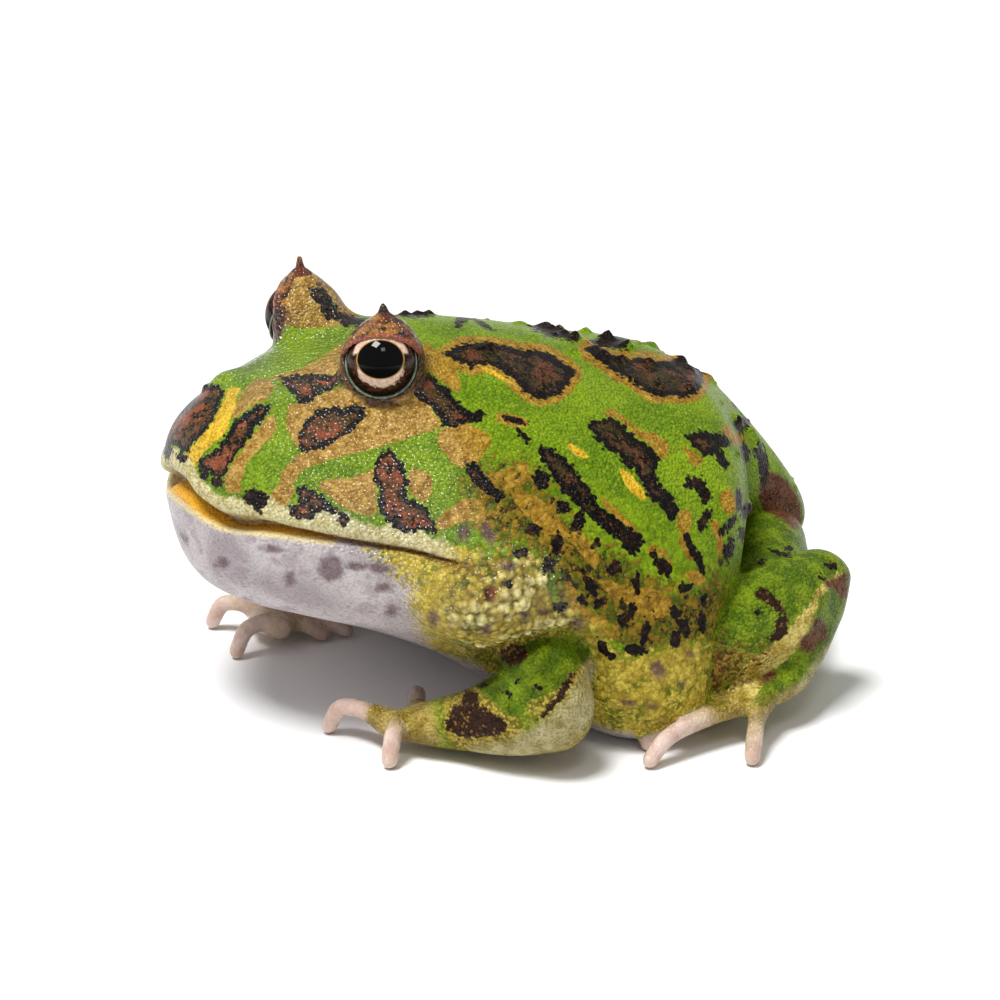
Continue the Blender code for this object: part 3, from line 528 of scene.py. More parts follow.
FOOT_PALE = (
    (842, 636), (836, 655), (822, 672), (806, 690), (790, 702), (772, 714), (764, 712), (784, 698),
    (800, 684), (812, 668), (822, 652), (834, 640),
)

# Camera: where it stands around the point it looks at, and its lens
AIM = np.array((0.6, 1.1, 23.8))
CAMERA_AZIMUTH, CAMERA_HEIGHT, CAMERA_DISTANCE = 62.0, 19.0, 388.0
LENS, SENSOR = 100.0, 36.0
PHOTO_SIZE = 1000.0
# Stage, in metres: how far the floor reaches, how far it lies below the feet, and where the lights aim
FLOOR_REACH, FLOOR_DROP, LIGHTS_AIM, WORLD_STRENGTH = 3.0, 0.0001, (0, 0, 0.02), 0.33
# How far round a mark its distance is worked out, in pixels
MARK_MARGIN = 16
# How far the far side's markings are moved outwards, in millimetres
FAR_SHIFT = 4.5
# A distance that keeps a mark off, and how near a part's own surface its skin is
OFF, OWN_SKIN = 30.0, 0.4


def curve_through(points, at):
    """A smooth curve through (place, value) points, read at one or more places."""
    points = np.array(points, float)
    place, value = points[:, 0], points[:, 1:]
    step = np.diff(place)[:, None]
    slope = np.diff(value, axis=0) / step
    tangent = np.empty_like(value)
    tangent[0], tangent[-1] = slope[0], slope[-1]
    tangent[1:-1] = (slope[:-1] * step[1:] + slope[1:] * step[:-1]) / (step[:-1] + step[1:])
    at = np.atleast_1d(np.asarray(at, float))
    i = np.clip(np.searchsorted(place, at) - 1, 0, len(place) - 2)
    span = step[i]
    u = (at[:, None] - place[i][:, None]) / span
    return (
        (2 * u**3 - 3 * u**2 + 1) * value[i]
        + (u**3 - 2 * u**2 + u) * span * tangent[i]
        + (3 * u**2 - 2 * u**3) * value[i + 1]
        + (u**3 - u**2) * span * tangent[i + 1]
    )


def line_at(points, at):
    return curve_through(points, at)[:, 0]


class Field:
    """Signed distances in millimetres, negative inside, on a regular grid."""

    def __init__(self, low, high, step):
        self.step = step
        self.low = np.array([math.floor(l / step) * step for l in low])
        self.count = [int(math.ceil((h - l) / step)) + 1 for l, h in zip(self.low, high)]
        self.axes = [
            (start + step * np.arange(n)).astype(np.float32)
            for start, n in zip(self.low, self.count)
        ]
        self.value = np.full(self.count, 8.0, np.float32)

    def window(self, low, high):
        """The part of the grid between two corners: its slices and its coordinates."""
        slices, axes = [], []
        for axis, l, h in zip(self.axes, low, high):
            first = max(int(np.searchsorted(axis, l)) - 1, 0)
            last = min(int(np.searchsorted(axis, h)) + 1, len(axis))
            slices.append(slice(first, last))
            axes.append(axis[first:last])
        x, y, z = np.meshgrid(*axes, indexing="ij", sparse=True)
        return tuple(slices), x, y, z

    def join(self, slices, distance, blend, crease=0.0):
        """Adds a shape. A crease is a furrow, so many millimetres deep, where it leaves what is there."""
        before = self.value[slices]
        joined = smooth_least(before, distance, blend)
        if crease:
            joined = joined + crease * np.exp(-((before / 1.3) ** 2) - (distance / 1.3) ** 2)
        self.value[slices] = joined

    def cut(self, slices, distance, blend):
        self.value[slices] = -smooth_least(-self.value[slices], distance, blend)

    def soften(self, times):
        """Averages each value with its neighbours, which rounds creases off."""
        for _ in range(times):
            for axis in range(3):
                middle = np.moveaxis(self.value, axis, 0)
                middle[1:-1] = 0.25 * middle[:-2] + 0.5 * middle[1:-1] + 0.25 * middle[2:]

    def push(self, centre, reach, height):
        """Moves the surface outwards by a soft bump."""
        centre, reach = np.array(centre, float), np.array(reach, float)
        slices, x, y, z = self.window(centre - 3 * reach, centre + 3 * reach)
        away = ((x - centre[0]) / reach[0]) ** 2 + ((y - centre[1]) / reach[1]) ** 2
        away = away + ((z - centre[2]) / reach[2]) ** 2
        self.value[slices] -= height * np.exp(-away)


def smooth_least(a, b, blend):
    """The lesser of two distances, rounded where they are about equal."""
    if blend <= 0:
        return np.minimum(a, b)
    near = np.maximum(blend - np.abs(a - b), 0) / blend
    return np.minimum(a, b) - near * near * blend * 0.25


def reach_along(points, at):
    """A curve through the squares, so that it ends like a round tip where the last value is zero."""
    squares = [(place, value * value) for place, value in points]
    return np.sqrt(np.maximum(line_at(squares, at), 1e-4))


def outside_section(x, y, z):
    """Above one outside the trunk's section at each point's place along Y, below one inside."""
    places = np.linspace(SNOUT, VENT, 2000)
    along = np.clip(y, SNOUT + 0.01, VENT - 0.01)
    rises = [(place, value - line_at(WIDEST_LINE, place)[0]) for place, value in TOP_LINE]
    drops = [(place, line_at(WIDEST_LINE, place)[0] - value) for place, value in BELLY_LINE]
    curves = [reach_along(line, places) for line in (HALF_WIDTH, rises, drops)]
    curves += [line_at(line, places) for line in (WIDEST_LINE, UPPER_POWER, LOWER_POWER)]
    half, above, below, widest, upper, lower = (np.interp(along, places, curve) for curve in curves)
    rise = z - widest
    power = np.where(rise > 0, upper, lower)
    reach = np.where(rise > 0, above, below)
    share = (np.abs(x / half) ** power + np.abs(rise / reach) ** power) ** (1 / power)
    return share + np.abs(y - along)


def trunk_radii():
    """How far the trunk reaches from its middle, by turn away from the snout and turn about Y."""
    away, about = np.meshgrid(
        np.linspace(0, math.pi, RADII_ROWS), np.linspace(0, math.pi, RADII_ROWS), indexing="ij"
    )
    aim = np.stack([np.sin(away) * np.sin(about), -np.cos(away), np.sin(away) * np.cos(about)])
    near, far = np.zeros_like(away), np.full_like(away, 80.0)
    for _ in range(22):
        middle = (near + far) / 2
        points = aim * middle + TRUNK_MIDDLE[:, None, None]
        outside = outside_section(*points) > 1
        near, far = np.where(outside, near, middle), np.where(outside, middle, far)
    weights = np.exp(-(np.arange(-6, 7) / 2.5) ** 2)
    weights /= weights.sum()
    for axis in (0, 1):
        padded = np.pad(near, [(6, 6) if axis == k else (0, 0) for k in (0, 1)], mode="reflect")
        near = sum(
            weight * np.take(padded, np.arange(RADII_ROWS) + shift, axis=axis)
            for shift, weight in enumerate(weights)
        )
    near[0], near[-1] = near[0].mean(), near[-1].mean()
    return near


def trunk_distance(x, y, z, step):
    dx, dy, dz = np.abs(x - TRUNK_MIDDLE[0]), y - TRUNK_MIDDLE[1], z - TRUNK_MIDDLE[2]
    distance = np.sqrt(dx * dx + dy * dy + dz * dz)
    scale = (RADII_ROWS - 1) / math.pi
    away = np.arccos(np.clip(-dy / np.maximum(distance, 1e-3), -1, 1)) * scale
    about = np.arctan2(dx, dz + 0 * dy) * scale
    i = np.minimum(away.astype(np.int32), RADII_ROWS - 2)
    j = np.minimum(about.astype(np.int32), RADII_ROWS - 2)
    u, v = away - i, about - j
    radii = trunk_radii().astype(np.float32)
    reach = (
        (radii[i, j] * (1 - u) + radii[i + 1, j] * u) * (1 - v)
        + (radii[i, j + 1] * (1 - u) + radii[i + 1, j + 1] * u) * v
    )
    beyond = distance - reach
    slopes = np.gradient(beyond, step)
    steep = np.sqrt(sum(slope * slope for slope in slopes))
    return np.clip(beyond / np.clip(steep, 1, 4), -8, 8).astype(np.float32)


def oval_distance(offsets, radii):
    """About the distance from an ellipsoid, by the offsets from its middle along its axes."""
    ratio = np.sqrt(sum((offset / radius) ** 2 for offset, radius in zip(offsets, radii)))
    steep = np.sqrt(sum((offset / radius**2) ** 2 for offset, radius in zip(offsets, radii)))
    return (ratio - 1) * ratio / np.maximum(steep, 1e-4)


def tube_distance(path, x, y, z, pieces=14):
    """Distance from a round-ended tube along path points (x, y, z, across, upwards)."""
    path = np.array(path, float)
    travelled = np.r_[0, np.cumsum(np.linalg.norm(np.diff(path[:, :3], axis=0), axis=1))]
    keys = curve_through(np.column_stack([travelled, path]), np.linspace(0, travelled[-1], pieces))
    best = None
    for here, there in zip(keys, keys[1:]):
        run = there[:3] - here[:3]
        length = np.linalg.norm(run)
        ahead = run / length
        side = np.cross(ahead, (0, 0, 1))
        side /= np.linalg.norm(side)
        up = np.cross(side, ahead)
        dx, dy, dz = x - here[0], y - here[1], z - here[2]
        forward, sideways, upwards = (
            dx * axis[0] + dy * axis[1] + dz * axis[2] for axis in (ahead, side, up)
        )
        share = np.clip(forward / length, 0, 1)
        a = here[3] + (there[3] - here[3]) * share
        b = here[4] + (there[4] - here[4]) * share
        distance = oval_distance((sideways, upwards, forward - share * length), (a, b, (a + b) / 2))
        best = distance if best is None else np.minimum(best, distance)
    return best.astype(np.float32)


def add_tube(field, path, blend, crease=0.0):
    path = np.array(path, float)
    margin = path[:, 3:].max() + blend + 3 * field.step + 2 * crease
    slices, x, y, z = field.window(path[:, :3].min(0) - margin, path[:, :3].max(0) + margin)
    field.join(slices, tube_distance(path, x, y, z), blend, crease)


def add_ball(field, centre, radii, blend, cut=False):
    centre, radii = np.array(centre, float), np.array(radii, float)
    margin = blend + 3 * field.step
    slices, x, y, z = field.window(centre - radii - margin, centre + radii + margin)
    distance = oval_distance((x - centre[0], y - centre[1], z - centre[2]), radii).astype(np.float32)
    (field.cut if cut else field.join)(slices, distance, blend)


def mirrored(path, side):
    return [(side * point[0], *point[1:]) for point in path]


def gaze_axes(side):
    """The directions sideways, upwards and ahead of one eye's gaze."""
    turn, rise = math.radians(GAZE_AZIMUTH), math.radians(GAZE_RISE)
    flat = math.cos(rise)
    ahead = np.array((side * math.cos(turn) * flat, -math.sin(turn) * flat, math.sin(rise)))
    sideways = np.cross(ahead, (0, 0, 1))
    sideways /= np.linalg.norm(sideways)
    return sideways, np.cross(sideways, ahead), ahead


def digit_path(root, tip, radius, arch):
    """A finger or toe: out of its root, over a low arch, and down to its tip on the floor."""
    root, tip = np.array(root, float), np.array((*tip, radius * 0.8))
    forward = (tip - root) * (1, 1, 0)
    forward /= max(np.linalg.norm(forward), 1e-6)
    knee = tip - forward * DIGIT_LAST_JOINT + (0, 0, arch)
    middle = (root + knee) / 2 + (0, 0, 0.25 * arch)
    return [
        (*root, radius * 1.7, radius * 1.5), (*middle, radius * 1.02, radius),
        (*knee, radius * 0.95, radius * 0.95), (*tip, radius * 0.92, radius * 0.85),
    ]


def fan_of_roots(end, tips):
    """Roots side by side across the end of a hand or foot, in the order of the tips."""
    centre = np.array(end, float)
    mean = np.mean([np.array(tip) for tip in tips], axis=0) - centre[:2]
    mean /= np.linalg.norm(mean)
    across = np.array((-mean[1], mean[0]))
    reach = [np.dot(np.array(tip) - centre[:2], across) for tip in tips]
    order = np.argsort(np.argsort(reach))
    middle = (len(tips) - 1) / 2
    shifts = [across * DIGIT_SPACING * (rank - middle) for rank in order]
    return [(*(centre[:2] + shift), centre[2]) for shift in shifts]


def resting(path, side, shares):
    """A path on one side, each point moved by its share of how that hand rests off its usual place."""
    shift = np.array((side * HAND_SHIFT[side][0], HAND_SHIFT[side][1], 0, 0, 0))
    return [np.array(key) + shift * share for key, share in zip(mirrored(path, side), shares)]


def fingers(side):
    tips = FINGER_TIPS[side]
    roots = fan_of_roots(resting(HAND, side, (1, 1, 1))[-1][:3], tips)
    return [digit_path(root, tip, FINGER_RADIUS, arch) for root, tip, arch in zip(roots, tips, FINGER_ARCHES)]


def toes(side):
    tips = [(side * px, py) for px, py in TOE_TIPS]
    roots = fan_of_roots(np.array(FOOT[-1][:3]) * (side, 1, 1), tips)
    return [digit_path(root, tip, TOE_RADIUS, TOE_ARCH) for root, tip in zip(roots, tips)]


def mouth_height(x, y):
    """How high the line of the mouth is. The upper lip hangs lower beside the front."""
    dip = np.interp(np.abs(x), *zip(*LIP_DIP))
    return line_at(MOUTH_LINE, np.clip(y, -50, 10)) - dip


def shape_mouth(field):
    """The lips and the mouth between them, open a little at the front."""
    slices, x, y, z = field.window((-45, SNOUT - 3, 20), (45, MOUTH_CORNER + 4, 42))
    value = field.value[slices]
    along = np.clip(y.ravel(), SNOUT - 3, 10)
    line = line_at(MOUTH_LINE, along)[None, :, None] - np.interp(np.abs(x), *zip(*LIP_DIP))
    line = line.astype(np.float32)
    fade = np.clip((MOUTH_CORNER - along) / 4 + 0.5, 0, 1)
    fade = (fade * fade * (3 - 2 * fade)).astype(np.float32)[None, :, None]
    front = (np.clip((MOUTH_CORNER - along) / (MOUTH_CORNER - SNOUT), 0, 1) ** 2.5)
    front = front.astype(np.float32)[None, :, None]
    rise = z - line
    upper_lip = UPPER_LIP[0] * np.exp(-(((rise - UPPER_LIP[1]) / UPPER_LIP[2]) ** 2))
    drop = LOWER_LIP[1] + 1.0 * front
    lower_lip = LOWER_LIP[0] * (1 - front) * np.exp(-(((rise + drop) / LOWER_LIP[2]) ** 2))
    value = value - fade * (upper_lip + lower_lip)
    bevel = 0.35 + 2.2 * front
    depth = 0.75 + 2.05 * np.sqrt(front)
    inwards = np.clip(value + depth, 0, 5) / depth
    low_edge = -0.12 - bevel * inwards
    slot = np.maximum(np.maximum(rise - 0.12 - 0.3 * front, low_edge - rise), -(value + depth * fade))
    field.value[slices] = -smooth_least(-value, slot.astype(np.float32), 0.35)


def add_eye_region(field, side):
    """The lids and the horn over one eye, the ridge behind it, and the room for the eyeball."""
    eye = EYE_CENTRE * (side, 1, 1)
    add_ball(field, eye - (side * LID_INWARDS, -0.3, 0.2), (LID_RADIUS[side],) * 3, 2.6)
    tip = np.array(HORN_TIPS[side])
    horn = [(*(tip - (0, -0.07 * drop, drop)), thick, 0.85 * thick) for drop, thick in HORN_SHAPE[side]]
    add_tube(field, horn, 1.2)
    ridge = [(side * px, py, pz, r, r) for px, py, pz, r in BROW_RIDGE]
    add_tube(field, ridge, 2.5)
    _, up, look = gaze_axes(side)
    slices, x, y, z = field.window(eye - 10, eye + 10)
    dx, dy, dz = x - eye[0], y - eye[1], z - eye[2]
    out = dx * look[0] + dy * look[1] + dz * look[2]
    rise = dx * up[0] + dy * up[1] + dz * up[2]
    slant = math.radians(UPPER_LID_ANGLE[side])
    above = rise * math.cos(slant) - out * math.sin(slant)
    reach = np.sqrt(dx * dx + dy * dy + dz * dz) - OPENING_REACH
    around = np.sqrt(np.maximum(dx * dx + dy * dy + dz * dz - out * out, 0))
    rim = RIM_FORWARD - 0.8 * np.maximum(around - 4.6, 0)
    bowl = -smooth_least(out - rim, -reach, 1.6)
    field.cut(slices, np.maximum(bowl, above + 1.4).astype(np.float32), 1.3)
    field.cut(slices, np.maximum(bowl, above).astype(np.float32), 0.35)
    add_ball(field, eye, (EYE_RADIUS + 0.05,) * 3, 0.1, cut=True)
    centre, radii = NOSTRIL
    add_ball(field, (side * centre[0], *centre[1:]), radii, 0.4, cut=True)


def skin_field():
    """The whole skin as one field: trunk, limbs and digits, then mouth and eyes, flat where it rests."""
    field = Field((-54, -50, -1.5), (54, 55, 61), STEP)
    _, x, y, z = field.window((-60, -60, -5), (60, 60, 70))
    field.value[:] = trunk_distance(x, y, z, STEP)
    for side in (1, -1):
        for (cx, cy, cz), reach, height in SWELLINGS:
            field.push((side * cx, cy, cz), reach, height)
    for side in (1, -1):
        centre, reach, blend = SHOULDER_FOLD
        add_ball(field, (side * centre[0], *centre[1:]), reach, blend)
        add_tube(field, mirrored(UPPER_ARM, side), 0.4, 1.5)
        add_tube(field, resting(FOREARM, side, np.linspace(0, 1, len(FOREARM))), 1.5)
        add_tube(field, resting(HAND, side, (1, 1, 1)), 1.5)
        for path in fingers(side):
            add_tube(field, path, 0.8)
        add_tube(field, mirrored(THIGH, side), 0.4, 1.8)
        add_tube(field, mirrored(SHANK, side), 0.8)
        add_tube(field, mirrored(FOOT, side), 0.5, 1.4)
        for path in toes(side):
            add_tube(field, path, 1.2)
    field.soften(2)
    shape_mouth(field)
    for side in (1, -1):
        add_eye_region(field, side)
    slices, x, y, z = field.window((-60, -60, -5), (60, 60, 2))
    field.value[slices] = np.maximum(field.value[slices], -z + 0 * x + 0 * y)
    return field


def surface_of(field):
    """Vertices and four-sided faces where the field crosses zero."""
    value = field.value
    inside = value < 0
    count = np.array(value.shape) - 1
    corner_sum = np.zeros(count, np.int8)
    for dx, dy, dz in product((0, 1), repeat=3):
        corner_sum += inside[dx:dx + count[0], dy:dy + count[1], dz:dz + count[2]]
    cells = np.argwhere((corner_sum > 0) & (corner_sum < 8))
    number = np.full(count, -1, np.int32)
    number[tuple(cells.T)] = np.arange(len(cells))
    total, weight = np.zeros((len(cells), 3)), np.zeros(len(cells))
    for axis in range(3):
        for corner in map(np.array, product((0, 1), repeat=3)):
            if corner[axis]:
                continue
            other = corner.copy()
            other[axis] = 1
            a = value[tuple((cells + corner).T)]
            b = value[tuple((cells + other).T)]
            crossed = (a < 0) != (b < 0)
            share = np.where(crossed, a / np.where(crossed, a - b, 1), 0)
            point = cells + corner.astype(float)
            point[:, axis] += share
            total += point * crossed[:, None]
            weight += crossed
    points = total / weight[:, None]
    faces = []
    for axis in range(3):
        step = [0, 0, 0]
        step[axis] = 1
        a = inside[: value.shape[0] - step[0], : value.shape[1] - step[1], : value.shape[2] - step[2]]
        b = inside[step[0]:, step[1]:, step[2]:]
        edges = np.argwhere(a != b)
        u, v = [(1, 2), (2, 0), (0, 1)][axis]
        keep = (edges[:, u] > 0) & (edges[:, v] > 0)
        keep &= (edges[:, u] < count[u]) & (edges[:, v] < count[v])
        edges = edges[keep]
        outward = a[tuple(edges.T)]
        around = []
        for du, dv in ((-1, -1), (0, -1), (0, 0), (-1, 0)):
            cell = edges.copy()
            cell[:, u] += du
            cell[:, v] += dv
            around.append(number[tuple(cell.T)])
        quad = np.stack(around, axis=1)
        quad[~outward] = quad[~outward][:, ::-1]
        faces.append(quad)
    return points * field.step + field.low, np.concatenate(faces)


def read_field(field, array, points):
    """Values of a grid array between its nodes."""
    place = (points - field.low) / field.step
    base = np.clip(np.floor(place).astype(int), 0, np.array(field.count) - 2)
    share = place - base
    total = 0
    for corner in product((0, 1), repeat=3):
        weight = np.ones(len(points))
        for axis, beyond in enumerate(corner):
            weight = weight * (share[:, axis] if beyond else 1 - share[:, axis])
        total = total + weight * array[tuple((base + corner).T)]
    return total


def mesh_object(name, points, faces, caps=()):
    """A mesh from four-sided faces, and from triangles that close its holes."""
    corners = np.concatenate([faces.ravel(), np.ravel(caps)]).astype(np.int32)
    starts = np.arange(0, faces.size, faces.shape[1])
    starts = np.concatenate([starts, faces.size + 3 * np.arange(len(caps))]).astype(np.int32)
    mesh = bpy.data.meshes.new(name)
    mesh.vertices.add(len(points))
    mesh.vertices.foreach_set("co", ((points + SHIFT) * MM).astype(np.float32).ravel())
    mesh.loops.add(len(corners))
    mesh.loops.foreach_set("vertex_index", corners)
    mesh.polygons.add(len(starts))
    mesh.polygons.foreach_set("loop_start", starts)
    mesh.polygons.foreach_set("use_smooth", np.ones(len(starts), bool))
    mesh.update(calc_edges=True)
    mesh.validate()
    obj = bpy.data.objects.new(name, mesh)
    bpy.context.scene.collection.objects.link(obj)
    return obj


def camera_axes():
    turn, rise = math.radians(CAMERA_AZIMUTH), math.radians(CAMERA_HEIGHT)
    back = np.array((math.sin(turn) * math.cos(rise), -math.cos(turn) * math.cos(rise), math.sin(rise)))
    right = np.array((math.cos(turn), math.sin(turn), 0))
    return back, right, np.cross(back, right)


def photo_places(points):
    """Where points lie in the photograph, in pixels, and how many pixels a millimetre is there."""
    back, right, up = camera_axes()
    scale = LENS / SENSOR * PHOTO_SIZE
    offset = points - AIM
    depth = CAMERA_DISTANCE - offset @ back
    across = PHOTO_SIZE / 2 + scale * (offset @ right) / depth
    down = PHOTO_SIZE / 2 - scale * (offset @ up) / depth
    return across, down, scale / depth


def outline_distance(px, py, outline):
    """Distance in pixels from a closed outline, negative inside it."""
    best = np.full(len(px), 1e9)
    inside = np.zeros(len(px), bool)
    for (ax, ay), (bx, by) in zip(outline, outline[1:] + outline[:1]):
        ex, ey = bx - ax, by - ay
        dx, dy = px - ax, py - ay
        share = np.clip((dx * ex + dy * ey) / (ex * ex + ey * ey), 0, 1)
        best = np.minimum(best, (dx - share * ex) ** 2 + (dy - share * ey) ** 2)
        if ay != by:
            crosses = ((ay > py) != (by > py)) & (px < ax + dy * ex / ey)
            inside ^= crosses
    return np.where(inside, -1, 1) * np.sqrt(best)


def mark_distance(seen, outlines=(), spots=()):
    """Millimetres to the nearest of some marks, negative inside them."""
    px, py, scale = seen
    nearest = np.full(len(px), 99.0)
    for outline in outlines:
        corners = np.array(outline)
        low, high = corners.min(axis=0) - MARK_MARGIN, corners.max(axis=0) + MARK_MARGIN
        near = np.flatnonzero((px > low[0]) & (px < high[0]) & (py > low[1]) & (py < high[1]))
        if len(near):
            away = outline_distance(px[near], py[near], tuple(outline)) / scale[near]
            nearest[near] = np.minimum(nearest[near], away)
    for sx, sy, half_width, half_height, tilt in spots:
        turn = math.radians(tilt)
        reach = MARK_MARGIN + max(half_width, half_height)
        near = np.flatnonzero((np.abs(px - sx) < reach) & (np.abs(py - sy) < reach))
        if len(near):
            dx, dy = px[near] - sx, py[near] - sy
            along = dx * math.cos(turn) + dy * math.sin(turn)
            across = dy * math.cos(turn) - dx * math.sin(turn)
            ratio = np.hypot(along / half_width, across / half_height)
            away = (ratio - 1) * math.sqrt(half_width * half_height) / scale[near]
            nearest[near] = np.minimum(nearest[near], away)
    return nearest


def soft_step(value, low, high):
    share = np.clip((value - low) / (high - low), 0, 1)
    return share * share * (3 - 2 * share)


def part_distances(points):
    """How far each point is from the arm, the hand, the leg, the foot and the digits of its own side."""
    x, y, z = np.abs(points[:, 0]), points[:, 1], points[:, 2]
    arm = np.minimum(tube_distance(UPPER_ARM, x, y, z), tube_distance(FOREARM, x, y, z))
    hand, digit = np.full((2, len(points)), 99.0)
    for side in (1, -1):
        own = points[:, 0] * side > 0
        hand[own] = tube_distance(resting(HAND, side, (1, 1, 1)), *points[own].T)
        for path in fingers(side):
            digit[own] = np.minimum(digit[own], tube_distance(path[1:], *points[own].T))
            hand[own] = np.minimum(hand[own], tube_distance(path[:2], *points[own].T))
    leg = np.minimum(tube_distance(THIGH, x, y, z), tube_distance(SHANK, x, y, z))
    foot = tube_distance(FOOT, x, y, z)
    for path in toes(1):
        digit = np.minimum(digit, tube_distance(path[1:], x, y, z))
        foot = np.minimum(foot, tube_distance(path[:2], x, y, z))
    return arm, hand, leg, foot, digit


def lid_marks(points):
    """Rust on lids and horns, the dusky ring round each eye, the lid's edge, and the lid's tan inner side."""
    rust, dusk, lid_edge = np.zeros((3, len(points)))
    tan_inside = np.full(len(points), 9.0)
    for side in (1, -1):
        sideways, up, look = gaze_axes(side)
        offset = points - EYE_CENTRE * (side, 1, 1)
        out, height, wide = offset @ look, offset @ up, offset @ sideways
        turn = np.hypot(height, wide)
        near = soft_step(-np.linalg.norm(offset, axis=1), -9.5, -8.0)
        front = soft_step(out, -2.8, -0.6)
        level = offset[:, 0] * look[0] + offset[:, 1] * look[1]
        lid = soft_step(height, 0.5, 2.5) * near * soft_step(level, -1.6, -0.4)
        tip = soft_step(-np.linalg.norm(points - np.array(HORN_TIPS[side]), axis=1), -3.2, -2.0)
        rust = np.maximum(rust, np.maximum(lid, tip))
        inner = near * soft_step(-level, 0.2, 1.0) * soft_step(points[:, 2], 49.5, 51.0)
        tan_inside = np.minimum(tan_inside, 0.5 - inner)
        under_eye = soft_step(-height / np.maximum(turn, 0.1), 0.3, 0.9)
        ring = soft_step(-turn - 1.1 * under_eye, -6.8, -6.0) * front * soft_step(-height, -3.2, -1.4) * near
        dusk = np.maximum(dusk, ring)
        slant = math.radians(UPPER_LID_ANGLE[side])
        edge = soft_step(out * math.sin(slant) - height * math.cos(slant), -0.75, -0.35)
        edge = edge * soft_step(height, 0.6, 1.4) * soft_step(-turn, -5.6, -5.2) * near
        lid_edge = np.maximum(lid_edge, edge * soft_step(out, 0.4, 1.0))
    return rust, dusk, lid_edge, tan_inside


